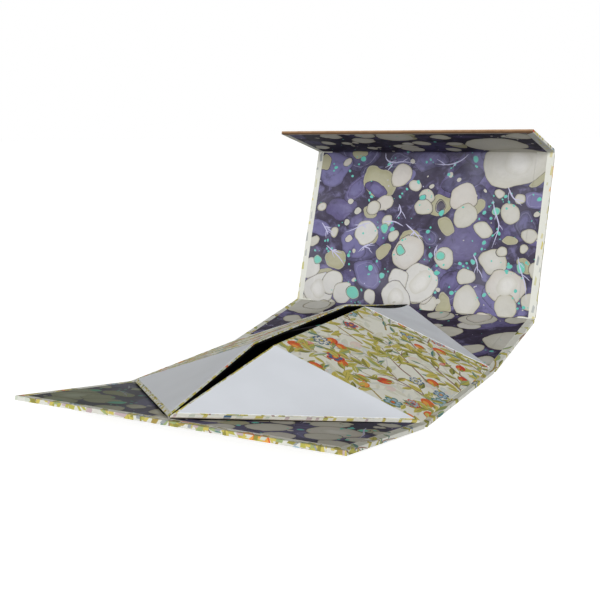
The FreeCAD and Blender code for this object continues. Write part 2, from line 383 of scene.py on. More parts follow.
@dataclass(frozen=True)
class PlainPaper:
    """A paper of one colour, with faint clouds, fibres and a slight cockle."""

    name: str
    colour: Colour
    mottle: float = 0.04
    cockle: float = 0.25
    roughness: float = 0.62
    specular: float = 0.3

    def material(self) -> Finish:
        """Builds the finish.

        Returns:
            The material.
        """
        graph = ShaderGraph(self.name)
        place = graph.object_place()
        cloud = graph.noise(place, 14.0, Detail=4.0)
        fibre = graph.noise(graph.stretched(place, (1.0, 2.5, 1.0)), 0.6, Detail=3.0)
        wave = graph.noise(place, 38.0, Detail=1.0)
        shade = 1 - self.mottle + (cloud + fibre) * self.mottle
        return graph.finish(
            Base_Color=graph.shaded(self.colour, shade),
            Roughness=self.roughness + (fibre - 0.5) * 0.12,
            Normal=graph.bump(wave * self.cockle * 8 + fibre * 0.05, 1.0, 0.5),
            Specular_IOR_Level=self.specular,
        )


@dataclass(frozen=True)
class Greyboard:
    """Recycled board, with flecks on its faces and plies at its edges."""

    name: str = "greyboard"
    pale: Colour = tint(176, 162, 142)
    dark: Colour = tint(112, 99, 84)

    def material(self) -> Finish:
        """Builds the finish.

        Returns:
            The material.
        """
        graph = ShaderGraph(self.name)
        place = graph.object_place()
        pulp = graph.noise(place, 3.0, Detail=5.0, Roughness=0.7)
        ply = graph.noise(graph.stretched(place, (0.08, 0.6, 4.0)), 1.2, Detail=3.0)
        flecks = {"Vector": place, "Scale": 1 / (1.6 * MM)}
        fleck = graph.node("ShaderNodeTexVoronoi", {"feature": "F1"}, flecks)
        colour = graph.mix((pulp + ply) * 0.5, self.dark, self.pale)
        colour = graph.mix(fleck.smooth(0.16, 0.08) * 0.5, colour, self.dark)
        return graph.finish(
            Base_Color=colour,
            Roughness=0.86 + (pulp - 0.5) * 0.1,
            Normal=graph.bump(pulp + ply, 0.06, 0.6),
            Specular_IOR_Level=0.2,
        )


@dataclass(frozen=True)
class MagnetMetal:
    """Nickel plate with fine turning marks and a few scuffs."""

    name: str = "magnet_metal"
    colour: Colour = tint(186, 186, 188)

    def material(self) -> Finish:
        """Builds the finish.

        Returns:
            The material.
        """
        graph = ShaderGraph(self.name)
        place = graph.object_place()
        scuff = graph.noise(place, 0.9, Detail=4.0, Distortion=0.6)
        blot = graph.noise(place, 4.0, Detail=2.0)
        return graph.finish(
            Base_Color=graph.mix(blot * 0.3, self.colour, tint(150, 148, 146)),
            Metallic=1.0,
            Roughness=0.25 + scuff * 0.2,
            Normal=graph.bump(scuff, 0.01, 0.3),
        )


# ---- Flat papers --------------------


@dataclass
class InkShape:
    """One field of ink: its outline on the flat paper, its colour, and its share of smoke."""

    outline: Sequence[Point]
    colour: Colour
    smoke: float = 0.0

    def __post_init__(self) -> None:
        """Makes the outline an array."""
        self.outline = np.array(self.outline, float)


Ink = list[InkShape]


def mirrored_pairs(points: Sequence[Point]) -> list[Point]:
    """A run of points, followed by its mirror image, in reverse."""
    return list(points) + [(-x, y) for x, y in reversed(points)]


@dataclass
class FlatPaper:
    """A sheet of paper laid out flat.

    Its place function gives flat points their place, in millimetres: on the printed face for
    an inset of 0, and on the plain face for an inset of the paper's thickness. The ground is
    the ink of bare paper. The back is the colour of the plain face and of the cut edges.
    """

    cut: Sequence[Point]
    creases: Sequence[Line]
    place: Placer
    finish: Finish
    ground: InkShape
    back: Colour
    face_down: bool = False
    weld: float = 1e-7
    least_area: float = 1e-3

    def triangulate(
        self, points: Sequence[Point], faces: list[list[int]]
    ) -> tuple[Array, Array, list[list[int]], list[list[int]]]:
        """Cuts the paper into triangles along its creases and along outlines.

        Args:
            points: The flat points. Those of the first face are the paper's own outline.
            faces: The outlines, as lists of points.

        Returns:
            The flat vertices, the triangles, the outlines that hold each of them, and the
            points that each vertex came from.
        """
        points, edges = [tuple(point) for point in points], []
        for crease in self.creases:
            edges.append((len(points), len(points) + 1))
            points += crease
        vectors = [Vector(point) for point in points]
        cut = delaunay_2d_cdt(vectors, edges, faces, 1, self.weld, True)
        verts, _, tris, origins, _, holders = cut
        kept = [i for i, holder in enumerate(holders) if 0 in holder and len(tris[i]) == 3]
        flat = np.array([tuple(v) for v in verts], float).reshape(-1, 2)
        triangles = np.array([tris[i] for i in kept], int).reshape(-1, 3)
        return flat, triangles, [holders[i] for i in kept], origins

    def cut_up(self, shapes: Ink) -> tuple[Array, Array, Array]:
        """The paper's printed face as triangles, none of which crosses an ink's edge.

        Args:
            shapes: The ink, with what lies on top last.

        Returns:
            The flat vertices, the triangles, and each triangle's shape, or -1 on bare paper.
        """
        outline = np.array(self.cut)
        low, high = outline.min(0), outline.max(0)
        points, faces = list(self.cut), [list(range(len(self.cut)))]
        rings, owners = [outline], [-1]
        for number, shape in enumerate(shapes):
            ring = shape.outline
            if (ring.max(0) < low).any() or (ring.min(0) > high).any() or len(ring) < 3:
                continue
            x, y = ring[:, 0], ring[:, 1]
            area = (x * np.roll(y, -1) - y * np.roll(x, -1)).sum() / 2
            if abs(area) < self.least_area:
                continue
            faces.append(list(range(len(points), len(points) + len(ring))))
            points += [tuple(p) for p in (ring if area > 0 else ring[::-1])]
            rings.append(ring)
            owners.append(number)
        flat, triangles, holders, _ = self.triangulate(points, faces)
        boxes = [(*ring.min(0), *ring.max(0)) for ring in rings]
        top = np.zeros(len(triangles), int)
        for number, (x, y) in enumerate(flat[triangles].mean(1)):
            for face in sorted(holders[number], reverse=True):
                left, lower, right, upper = boxes[face]
                if left <= x <= right and lower <= y <= upper:
                    top[number] = owners[face]
                    break
        return flat, triangles, top

    def fold(self, name: str, shapes: Ink) -> Piece:
        """Folds the inked paper into its place, as a closed sheet with a thickness.

        Args:
            name: The piece's name.
            shapes: The ink, with what lies on top last.

        Returns:
            The piece.
        """
        flat, front, top = self.cut_up(shapes)
        used, front = np.unique(front, return_inverse=True)
        flat, front = flat[used], front.reshape(-1, 3)
        rim_next = self.rim_edges(front)
        ring = [min(rim_next)]
        while rim_next[ring[-1]] != ring[0]:
            ring.append(rim_next[ring[-1]])
        # The plain face has the same rim, and inside it only the creases
        back_flat, plain, _, origins = self.triangulate(flat[ring], [list(range(len(ring)))])
        places = {source: vertex for vertex, sources in enumerate(origins) for source in sources}
        under = [places[index] + len(flat) for index in range(len(ring))]
        rim = list(zip(ring, under, under[1:] + under[:1], ring[1:] + ring[:1]))
        faces = [tuple(t) for t in front] + [tuple(t[::-1]) for t in plain + len(flat)] + rim
        if self.face_down:
            faces = [face[::-1] for face in faces]
        corners = np.vstack([self.place(flat, 0.0), self.place(back_flat, PAPER)])
        palette = np.array([(*s.colour, s.smoke) for s in (*shapes, self.ground)])
        colours = np.vstack([palette[top], np.tile((*self.back, 0.0), (len(plain) + len(rim), 1))])
        return self.piece(name, corners, np.vstack([flat, back_flat]), faces, colours)

    @staticmethod
    def rim_edges(triangles: Array) -> dict[int, int]:
        """The end of each edge that only one triangle has, by the edge's start."""
        known = {pair for t in triangles.tolist() for pair in zip(t, t[1:] + t[:1])}
        return {a: b for a, b in known if (b, a) not in known}

    def piece(
        self, name: str, corners: Array, flat: Array, faces: list[tuple[int, ...]], colours: Array
    ) -> Piece:
        """Makes the mesh, with its colours and its flat map.

        Args:
            name: The piece's name.
            corners: The vertices, in millimetres.
            flat: Where each lies on the flat paper, in millimetres.
            faces: The faces.
            colours: Each face's colour and smoke.

        Returns:
            The piece.
        """
        mesh = bpy.data.meshes.new(name)
        mesh.from_pydata((corners * MM).tolist(), [], faces)
        sizes = np.array([len(face) for face in faces])
        layer = mesh.color_attributes.new(INK_LAYER, "FLOAT_COLOR", "CORNER")
        layer.data.foreach_set("color", np.repeat(colours, sizes, axis=0).astype(np.float32).ravel())
        loops = np.zeros(len(mesh.loops), np.int32)
        mesh.loops.foreach_get("vertex_index", loops)
        uv = mesh.uv_layers.new(name=FLAT_MAP)
        uv.uv.foreach_set("vector", (flat[loops] * MM + FLAT_ORIGIN).astype(np.float32).ravel())
        mesh.materials.append(self.finish)
        mesh.update()
        return linked(name, mesh)


# ---- Marbling --------------------


class Stone(Enum):
    """The colours that are dropped on the size, with their share of smoke."""

    PLUM = (tint(60, 53, 72), 1.0)
    VIOLET = (tint(92, 84, 124), 0.9)
    LILAC = (tint(112, 108, 150), 0.75)
    SLATE = (tint(80, 76, 106), 0.9)
    CREAM = (tint(194, 191, 179), 0.03)
    WARM = (tint(198, 192, 183), 0.03)
    WHITE = (tint(207, 205, 199), 0.02)
    CORE = (tint(216, 214, 208), 0.02)
    BEIGE = (tint(178, 173, 151), 0.05)
    OLIVE = (tint(166, 162, 128), 0.08)
    TEAL = (tint(96, 196, 176), 0.02)
    AQUA = (tint(120, 172, 176), 0.05)
    VEIN = (tint(44, 38, 50), 0.3)
    STREAK = (tint(194, 192, 220), 0.02)


Ring = tuple[float, Colour, float]


@dataclass
class Drop:
    """One drop, at the place where it ends up.

    Its rings are drawn from the outside in: each is a share of its radius, a colour and a
    share of smoke.
    """

    across: float
    along: float
    radius: float
    rings: Sequence[Ring]
    stretch: float
    turn: float
    wobble: float


@dataclass
class MarblingBath:
    """The size that the lining paper is marbled on."""

    width: float = 200.0
    whole: Point = (-8.0, 540.0)
    vein: float = 0.32
    push: float = 0.62
    least_steps: int = 10
    most_steps: int = 56
    seed: int = 11
    drops: list[Drop] = field(default_factory=list)
    random: Random = field(init=False)

    def __post_init__(self) -> None:
        """Starts the bath's own random draws."""
        self.random = Random(self.seed)

    def stone(self, across: float, along: float, radius: float, kind: Stone) -> None:
        """Drops a stone.

        Args:
            across: Its place across the paper.
            along: Its place along the paper.
            radius: Its radius.
            kind: Its colour.
        """
        random = self.random
        thin = self.vein / radius * random.uniform(0.4, 1.3)
        veined = radius > 2.4 and kind is not Stone.CORE
        rings = [(1 + thin, *Stone.VEIN.value)] if veined else []
        rings += self.rings(radius, kind)
        cloudy = kind in (Stone.VIOLET, Stone.LILAC, Stone.SLATE)
        loose = cloudy or kind is Stone.OLIVE
        stretch = random.uniform(1.0, 1.6 if loose else 1.22)
        turn = random.uniform(0, pi)
        wobble = random.uniform(0.08, 0.17) if loose else random.uniform(0.015, 0.06)
        self.drops.append(Drop(across, along, radius, rings, stretch, turn, wobble))

    def rings(self, radius: float, kind: Stone) -> list[Ring]:
        """The rings inside a stone's vein.

        Args:
            radius: Its radius.
            kind: Its colour.

        Returns:
            The rings, from the outside in.
        """
        random = self.random
        colour, smoke = kind.value
        if kind is Stone.CORE:
            steps = ((1.0, 0.2), (0.9, 0.4), (0.78, 0.6), (0.64, 0.8), (0.48, 1.0))
            return [(share, blended(Stone.CREAM.value[0], colour, mixed), smoke) for share, mixed in steps]
        if kind in (Stone.VIOLET, Stone.LILAC, Stone.SLATE):
            # A cloudy stone fades into the plum round it, and is lighter in the middle
            light = blended(colour, Stone.LILAC.value[0], random.uniform(0.2, 0.8))
            steps = ((1.0, 0.45), (0.95, 0.75), (0.88, 1.0))
            plum = Stone.PLUM.value[0]
            rings = [(share, blended(plum, colour, mixed), smoke) for share, mixed in steps]
            if random.random() < 0.35:
                bright = blended(colour, Stone.STREAK.value[0], random.uniform(0.12, 0.32))
                rings += [(0.8, bright, smoke * 0.4), (0.8 - 0.45 / radius, colour, smoke)]
            return rings + [(0.62, blended(colour, light, 0.5), smoke), (0.5, light, smoke)]
        if radius > 3:
            # A large plain stone has a dark line at its edge, then a rim, and is paler in the middle
            pale = kind in (Stone.CREAM, Stone.WARM, Stone.WHITE, Stone.BEIGE)
            rim = blended(colour, Stone.BEIGE.value[0], random.uniform(0.4, 1.0))
            lit = random.uniform(0.2, 1.0) if pale else 0.2
            core = blended(colour, Stone.WHITE.value[0], lit)
            line = blended(rim, Stone.VEIN.value[0], 0.22)
            rings = [(1.0, line, smoke), (1 - 0.3 / radius, rim, smoke)]
            fields = 4 if radius > 7 else 2
            for k in range(fields):
                share = (1 - 0.8 / radius) * (1 - 0.13 * k)
                rings.append((share, blended(colour, core, k / fields), smoke))
            return rings
        if kind is Stone.TEAL and radius > 1:
            return [(1.0, Stone.AQUA.value[0], smoke), (0.78, colour, smoke)]
        return [(1.0, colour, smoke)]

    def scatter(
        self, count: int, kinds: Sequence[Stone], low: float, high: float, power: float,
        stretch: Point = whole,
    ) -> None:
        """Drops stones at random over a stretch of the size.

        Args:
            count: How many.
            kinds: The colours that they may have.
            low: The smallest radius.
            high: The largest radius.
            power: How rare the large ones are.
            stretch: Where it starts and ends along the paper.
        """
        random = self.random
        for _ in range(count):
            across = random.uniform(-self.width / 2, self.width / 2)
            along = random.uniform(*stretch)
            kind = random.choice(kinds) if len(kinds) > 1 else kinds[0]
            self.stone(across, along, low + (high - low) * random.random() ** power, kind)

    def contours(self) -> Ink:
        """Lets the drops push each other aside, and reads off their edges.

        Returns:
            The ink, with the last drops on top.
        """
        count = len(self.drops)
        centres = np.array([(d.across, d.along) for d in self.drops])
        sizes = np.array([d.radius * d.rings[0][0] for d in self.drops]) * self.push
        # Each drop's place is where it ends up, so the later drops' pushes are undone first
        for last in range(count - 1, 0, -1):
            away = centres[:last] - centres[last]
            square = np.maximum((away ** 2).sum(1), (sizes[last] * 1.03) ** 2)
            centres[:last] = centres[last] + away * np.sqrt(1 - sizes[last] ** 2 / square)[:, None]
        random = self.random
        rings, owners, starts = [], [], [0]
        for number, drop in enumerate(self.drops):
            phase = [random.uniform(0, 2 * pi) for _ in range(3)]
            for share, *owner in drop.rings:
                steps = 8 + 2.35 * drop.radius * share
                steps = int(min(self.most_steps, max(self.least_steps, steps)))
                angle = np.linspace(0, 2 * pi, steps, endpoint=False)
                waves = [np.sin(k * angle + phase[k - 2]) / (k - 1) for k in (2, 3, 4)]
                swell = 1 + drop.wobble * sum(waves)
                reach = drop.radius * share * swell
                x = reach * np.cos(angle) * sqrt(drop.stretch)
                y = reach * np.sin(angle) / sqrt(drop.stretch)
                c, s = cos(drop.turn), sin(drop.turn)
                rings.append(np.stack([c * x - s * y, s * x + c * y], 1) + centres[number])
                owners.append(owner)
            starts.append(starts[-1] + sum(len(ring) for ring in rings[-len(drop.rings):]))
        cloud = np.vstack(rings)
        for number in range(1, count):
            pushed = cloud[: starts[number]] - centres[number]
            square = np.maximum((pushed ** 2).sum(1), 1e-6)
            scale = np.sqrt(1 + sizes[number] ** 2 / square)[:, None]
            cloud[: starts[number]] = centres[number] + pushed * scale
        parts = np.split(self.drift(cloud), np.cumsum([len(ring) for ring in rings])[:-1])
        return [InkShape(part, *owner) for part, owner in zip(parts, owners)]

    @staticmethod
    def drift(points: Array) -> Array:
        """Where points end up, as the size drifts a little while the paper goes down on it.

        Args:
            points: Points of the flat paper.

        Returns:
            Their new places.
        """
        x, y = points[:, 0], points[:, 1]
        dx = 0.7 * np.sin(y / 4.6 + np.sin(x / 5.1)) + 0.3 * np.sin(y / 1.9 + x / 2.7)
        dy = 0.7 * np.sin(x / 4.9 + 1.3 * np.sin(y / 6.3)) + 0.3 * np.sin(x / 2.1 - y / 2.9)
        dx += 0.12 * np.sin(y / 0.83 + x / 1.7)
        dy += 0.12 * np.sin(x / 0.91 - y / 1.9)
        return points + np.stack([dx, dy], 1)


@dataclass
class MarbledLiningPaper:
    """Where the stones and the streaks of this box's lining paper lie.

    Places on the lid are given across it and up from its hinge, and those on the back board
    and the flap up from the fold that each starts at. The paper's pattern comes again on
    the front board.
    """

    lid_start: float = 325.0
    back_start: float = 225.0
    flap_start: float = 453.0
    repeat: float = 309.0
    repeated: float = 100.0
    bath: MarblingBath = field(default_factory=MarblingBath)

    violets = (
        (-72, 79, 11), (-82, 112, 14), (32, 107, 12), (40, 57, 19), (90, 90, 8), (85, 72, 9),
        (30, 22, 9), (-40, 25, 12), (-30, 100, 9), (60, 8, 14), (-55, 50, 12), (0, 122, 12),
        (-60, 96, 10), (80, 12, 12), (8, 58, 8), (96, 60, 8), (-90, 62, 9), (-25, 120, 9),
    )
    olives = (
        (-40, 104, 13), (14, 85, 8.5), (22, 68, 7), (-6, 57, 8), (-28, 44, 6), (-70, 36, 9),
        (45, 84, 6), (-82, 22, 7), (28, 6, 7), (88, 40, 5), (-92, 118, 6), (94, 110, 7),
        (70, 118, 7), (-45, 76, 5), (4, 8, 6),
    )
    creams = (
        (66, 121, 22), (33, 92, 11), (37, 76, 9.5), (52, 66, 7), (72, 79, 8), (-21, 108, 9.5),
        (-8, 100, 5), (3, 92, 6), (1, 82, 7), (-33, 85, 7), (-42, 81, 6), (-28, 70, 4.5),
        (-22, 57, 4.5), (-6, 45, 13), (25, 42, 8), (63, 41, 10), (43, 28, 7), (73, 24, 13),
        (77, 7, 9), (46, 9, 11), (16, 4, 6), (14, 10, 5), (88, 63, 6), (78, 91, 4),
        (69, 49, 4), (62, 95, 4), (86, 53, 3.5), (-90, 79, 4), (-75, 58, 4), (-61, 54, 3),
        (-64, 85, 2.5), (-56, 77, 3), (-64, 68, 2.5), (-72, 119, 3.5), (95, 12, 7), (95, 36, 5),
        (-93, 50, 5), (60, -8, 9), (88, -6, 8), (28, -9, 8), (-4, -8, 7),
    )
    whites = (
        (-46, 59, 10), (3, 20, 14), (-12, 24, 8), (-13, 8, 11.5), (-85, 10, 12), (-70, 17, 9),
        (-60, 8, 9), (-92, 27, 8), (-35, 7, 6), (-42, -9, 9), (-76, -10, 11),
    )
    cores = ((73, 120, 11), (7, 21, 9), (76, 23, 8), (-12, 8, 7), (-82, 10, 7))
    back_creams = (
        (60, 85, 11.5), (45, 58, 12), (95, 52, 18), (35, 88, 7), (-85, 85, 18), (-80, 55, 8),
        (-50, 88, 9), (-58, 64, 7), (74, 30, 9), (88, 12, 8), (20, 70, 6), (-20, 80, 8),
    )
    flap_creams = (
        (62, 28, 22), (-40, 42, 9), (-8, 55, 14), (6, 32, 7), (32, 30, 6), (-60, 58, 9),
        (-10, 12, 9), (-30, 60, 8), (-74, 34, 6), (28, 54, 8), (88, 56, 9), (-88, 18, 6),
        (24, 10, 6), (-44, 14, 5),
    )
    teals = (
        (-57, 121, 3), (-34, 117, 2), (2, 121, 1.5), (40, 122, 3), (-82, 114, 2),
        (-68, 112, 1.5), (19, 110, 2), (22, 118, 1.5), (-30, 64, 4.5), (-23, 63, 2.5),
        (61, 80, 4), (52, 80, 2), (65, 64, 2), (67, 92, 2), (92, 91, 2.5), (85, 38, 4.5),
        (77, 39, 2.5), (75, 35, 2), (21, 44, 4.5), (13, 44, 2.5), (19, 30, 3), (-13, 47, 5),
        (-1, 90, 3.5), (-38, 31, 3), (-27, 25, 3), (-50, 9, 6.5), (-86, 34, 4.5),
        (48, 41, 2.5), (38, 38, 2), (34, 15, 2.5), (54, 56, 2), (8, 62, 2), (-72, 64, 1.3),
        (-79, 51, 1.3), (-74, 45, 1.5), (-58, 39, 1.8), (-46, 90, 1.6), (60, 16, 2.2),
        (84, 20, 1.6), (90, 8, 1.8), (-20, 90, 1.5), (70, 88, 1.4), (57, 88, 1.4),
    )
    streaks = (
        ((-38, 127), (-37, 121), (-30, 118), (-22, 120), (-10, 118)), ((-30, 118), (-34, 112)),
        ((-42, 68), (-50, 66), (-56, 62), (-64, 59)), ((-50, 66), (-46, 63)),
        ((-14, 66), (-22, 70), (-32, 69)), ((-20, 84), (-17, 78), (-21, 72)),
        ((-12, 68), (-4, 62), (4, 54)), ((-4, 62), (-7, 58)),
        ((-87, 66), (-82, 60), (-80, 56)), ((-84, 63), (-78, 62)),
        ((-80, 47), (-74, 43), (-66, 37), (-61, 31)), ((-74, 43), (-70, 44)),
        ((-38, 51), (-46, 48), (-50, 43)), ((-46, 48), (-40, 46)),
        ((57, 90), (60, 80), (65, 70), (63, 60), (61, 52)), ((17, 52), (15, 46), (17, 41)),
        ((47, 46), (51, 40), (52, 32)), ((82, 46), (84, 38), (90, 26), (92, 14)),
        ((33, 126), (27, 120), (17, 117), (6, 118)), ((68, 100), (72, 92), (80, 86)),
    )

    def print(self) -> Ink:
        """Marbles the paper.

        Returns:
            Its ink, with what lies on top last.
        """
        bath = self.bath
        plain = (Stone.CREAM, Stone.CREAM, Stone.WARM, Stone.WHITE)
        bath.scatter(44, [Stone.VIOLET], 5, 18, 1.0)
        bath.scatter(26, [Stone.SLATE], 5, 15, 1.0)
        bath.scatter(20, [Stone.LILAC], 3, 9, 1.0)
        self.lay(self.violets, Stone.VIOLET, Stone.LILAC, Stone.SLATE)
        bath.scatter(14, [Stone.OLIVE], 4, 10, 1.2)
        self.lay(self.olives, Stone.OLIVE)
        self.lay([(-42, 96, 7.5)], Stone.VIOLET)
        self.lay([(15, 84, 4.5)], Stone.PLUM)
        bath.scatter(46, plain, 4.0, 15.0, 1.6, (106.0, 300.0))
        bath.scatter(8, plain, 3.0, 8.0, 1.6, (458.0, 530.0))
        for start, places in ((self.back_start, self.back_creams), (self.flap_start, self.flap_creams)):
            for across, along, radius in places:
                bath.stone(across, along + start, radius, Stone.CREAM)
        self.lay(self.creams, Stone.CREAM, Stone.WARM, Stone.CREAM, Stone.CREAM)
        self.lay(self.whites, Stone.WHITE)
        self.lay(self.cores, Stone.CORE)
        bath.scatter(190, [Stone.CREAM], 0.4, 2.3, 2.2)
        bath.scatter(40, [Stone.TEAL], 0.5, 2.6, 2.0)
        for across, along, radius in self.teals:
            self.lay([(across, along, radius * 0.8)], Stone.TEAL)
            for _ in range(round(radius)):
                turn, away = bath.random.uniform(0, 2 * pi), radius + bath.random.uniform(0.8, 4.5)
                beside = (across + away * cos(turn), along + away * sin(turn))
                self.lay([(*beside, bath.random.uniform(0.3, 1.1))], Stone.TEAL)
        bath.scatter(130, [Stone.TEAL], 0.3, 0.9, 1.0)
        bath.scatter(60, [Stone.STREAK], 0.2, 0.6, 1.0)
        shapes = bath.contours()
        for run in self.streaks:
            for shift in self.shifts(run[0][1]):
                shapes += self.streak([(x, y + shift) for x, y in run])
        return shapes

    def shifts(self, along: float) -> list[float]:
        """How far up the paper a place on the lid comes, each time that the pattern does."""
        first = self.lid_start
        return [first, first - self.repeat] if along < self.repeated else [first]

    def lay(self, places: Sequence[Place], *kinds: Stone) -> None:
        """Drops stones on the lid, and where the pattern comes again on the front board.

        Args:
            places: Their places across and up the lid, and their radii.
            kinds: Their colours, which they take in turn.
        """
        for number, (across, along, radius) in enumerate(places):
            kind = kinds[number % len(kinds)]
            for shift in self.shifts(along):
                # Painted shade: where the pattern comes again on the front board, its white stones are
                # drawn beige
                again = shift < self.lid_start and kind is Stone.WHITE
                self.bath.stone(across, along + shift, radius, Stone.BEIGE if again else kind)

    def streak(self, run: Sequence[Point], widest: float = 0.4) -> Ink:
        """A crack of pale ink, widest near the middle of its run, with fine spurs.

        Args:
            run: The points that it passes.
            widest: Its greatest half width.

        Returns:
            Its shapes.
        """
        random = self.bath.random
        points = [Vector(p) for p in run]
        for _ in range(3):
            cut = [points[0]]
            for first, second in zip(points, points[1:]):
                cut += [first.lerp(second, 0.25), first.lerp(second, 0.75)]
            points = cut + [points[-1]]
        line = []
        for first, second in zip(points, points[1:]):
            steps = max(1, round((second - first).length / 1.1))
            line += [first.lerp(second, k / steps) for k in range(steps)]
        line.append(points[-1])
        left, right, spurs = [], [], []
        for k, point in enumerate(line):
            ahead, across = course(line, k)
            share = k / (len(line) - 1)
            half = 0.1 + widest * sin(pi * min(1.0, share * 1.1)) ** 1.3
            left.append(point + across * half * random.uniform(0.75, 1.25))
            right.append(point - across * half * random.uniform(0.75, 1.25))
            if widest > 0.3 and 0.15 < share < 0.7 and random.random() < 0.09:
                onward = ahead.normalized()
                aside = (across * random.choice((-1, 1)) * 0.7 + onward).normalized()
                reach = random.uniform(4.0, 9.0)
                bowed = point + aside * reach * 0.5
                tip = bowed + (aside + onward * random.uniform(0.2, 1.0)).normalized() * reach * 0.5
                spurs += self.streak([tuple(point), tuple(bowed), tuple(tip)], 0.18)
        ring = np.array([tuple(p) for p in right + left[::-1]])
        colour, smoke = Stone.STREAK.value
        return [InkShape(ring, colour, smoke)] + spurs


# ---- The botanical print --------------------


class Dye(Enum):
    """The inks of the botanical print."""

    LIME = tint(186, 181, 92)
    YELLOW_GREEN = tint(205, 191, 102)
    OLIVE = tint(150, 145, 76)
    MOSS = tint(116, 120, 70)
    SAGE = tint(160, 174, 122)
    GHOST = tint(207, 213, 197)
    BLUE_GREEN = tint(98, 136, 128)
    SLATE = tint(84, 110, 138)
    PALE_BLUE = tint(164, 188, 200)
    ORANGE = tint(222, 112, 62)
    RED = tint(206, 78, 58)
    AMBER = tint(232, 168, 84)
    PINK = tint(222, 158, 150)
    ROSE = tint(196, 176, 178)
    MIST = tint(158, 162, 164)
    PALE = tint(222, 220, 210)
    BARK = tint(146, 116, 100)
    GOLD = tint(170, 150, 84)


@dataclass
class Stem:
    """One stem of the print: its line and its width at its foot."""

    line: list[Vector]
    width: float
    order: int


Fields = list[tuple[list[Point], Dye]]


class LeafyBranches:
    """A node tree that sets leaves along stems, and fruits and blossoms at their ends."""

    kinds = 12

    def __init__(self, leaves: bpy.types.Collection, heads: bpy.types.Collection) -> None:
        """Builds the tree.

        Args:
            leaves: The leaves that it sets.
            heads: The fruits and blossoms that it sets.
        """
        self.leaves = leaves
        self.heads = heads
        self.tree = bpy.data.node_groups.new("leafy_branches", "GeometryNodeTree")
        self.graph = NodeGraph(self.tree)
        self.sockets: dict[str, str] = {}
        self.build()

    def build(self) -> None:
        """Lays out the nodes."""
        face = self.tree.interface
        for kind, names in (
            ("Geometry", ("Geometry",)),
            ("Float", ("Spacing", "Leaf Angle", "Leaf Size", "Size Spread", "Head Size", "Head Share")),
            ("Collection", ("Leaves", "Heads")),
            ("Int", ("Seed",)),
        ):
            for name in names:
                made = face.new_socket(name, in_out="INPUT", socket_type=f"NodeSocket{kind}")
                self.sockets[name] = made.identifier
        face.new_socket("Geometry", in_out="OUTPUT", socket_type="NodeSocketGeometry")
        graph = self.graph
        given = graph.node("NodeGroupInput")
        inputs = {name: given.beside(name) for name in self.sockets}
        seed = inputs["Seed"]
        stems = graph.node("GeometryNodeMeshToCurve", {}, {0: inputs["Geometry"]})
        spaced = {"Curve": stems, "Length": inputs["Spacing"]}
        dots = graph.node("GeometryNodeCurveToPoints", {"mode": "LENGTH"}, spaced, "Points")
        order = graph.node("GeometryNodeInputIndex")
        side = order.maths("MODULO", order, 2.0) * 2.0 - 1.0
        sway = self.random(-0.35, 0.35, seed + 1)
        leaf_turn = self.heading(dots.beside("Tangent")) + side * (inputs["Leaf Angle"] + sway)
        spread = inputs["Size Spread"]
        leaf_size = inputs["Leaf Size"] * (1 + spread * self.random(-1.0, 1.0, seed + 2))
        leaved = self.chance(0.86, seed + 4)
        leaves = self.scatter(dots, inputs["Leaves"], leaf_turn, leaf_size, seed + 3, leaved)
        ends = graph.node("GeometryNodeCurveEndpointSelection", {}, {"Start Size": 0, "End Size": 1})
        tangent = graph.node("GeometryNodeInputTangent")
        head_turn = self.heading(tangent) + self.random(-0.5, 0.5, seed + 5)
        head_size = inputs["Head Size"] * self.random(0.8, 1.2, seed + 6)
        drawn = self.chance(inputs["Head Share"], seed + 7)
        ended = graph.node("FunctionNodeBooleanMath", {"operation": "AND"}, {0: ends, 1: drawn})
        heads = self.scatter(stems, inputs["Heads"], head_turn, head_size, seed + 8, ended)
        joined = graph.tree.nodes.new("GeometryNodeJoinGeometry")
        # The last to be linked comes first in the mesh, so the leaves stay under the heads
        for part in (heads, leaves):
            graph.tree.links.new(part.socket, joined.inputs[0])
        real = graph.node("GeometryNodeRealizeInstances", {}, {0: Wire(graph, joined.outputs[0])})
        leaving = graph.tree.nodes.new("NodeGroupOutput")
        graph.tree.links.new(real.socket, leaving.inputs[0])

    @staticmethod
    def heading(tangent: Wire) -> Wire:
        """The direction of a tangent, as an angle in the plane."""
        x = tangent.graph.node("ShaderNodeSeparateXYZ", {}, {0: tangent})
        return x.maths("ARCTAN2", x.beside(1), x)

    def random(self, low: float, high: float, seed: Wire) -> Wire:
        """A random number between two others for each point."""
        values = {"Min_001": low, "Max_001": high, "Seed": seed}
        return self.graph.node("FunctionNodeRandomValue", {"data_type": "FLOAT"}, values, "Value_001")

    def chance(self, share: Wire | float, seed: Wire) -> Wire:
        """True at random, for a share of the points."""
        values = {"Probability": share, "Seed": seed}
        return self.graph.node("FunctionNodeRandomValue", {"data_type": "BOOLEAN"}, values, "Value_003")

    def scatter(
        self, points: Wire, motifs: Wire, turn: Wire, size: Wire, seed: Wire, chosen: Wire
    ) -> Wire:
        """Sets motifs on points.

        Args:
            points: The points.
            motifs: The collection of motifs.
            turn: Each one's angle.
            size: Each one's size.
            seed: The seed for which motif it is.
            chosen: Which points have one.

        Returns:
            The instances.
        """
        graph = self.graph
        span = {"Min_002": 0, "Max_002": self.kinds - 1, "Seed": seed}
        pick = graph.node("FunctionNodeRandomValue", {"data_type": "INT"}, span, "Value_002")
        about = graph.node("ShaderNodeCombineXYZ", {}, {"Z": turn})
        turned = graph.node("FunctionNodeEulerToRotation", {}, {0: about})
        sized = graph.node("ShaderNodeCombineXYZ", {}, {0: size, 1: size, 2: size})
        split = {"Collection": motifs, "Separate Children": True, "Reset Children": True}
        kinds = graph.node("GeometryNodeCollectionInfo", {}, split)
        values = {
            "Points": points, "Selection": chosen, "Instance": kinds, "Pick Instance": True,
            "Instance Index": pick, "Rotation": turned, "Scale": sized,
        }
        return graph.node("GeometryNodeInstanceOnPoints", {}, values)

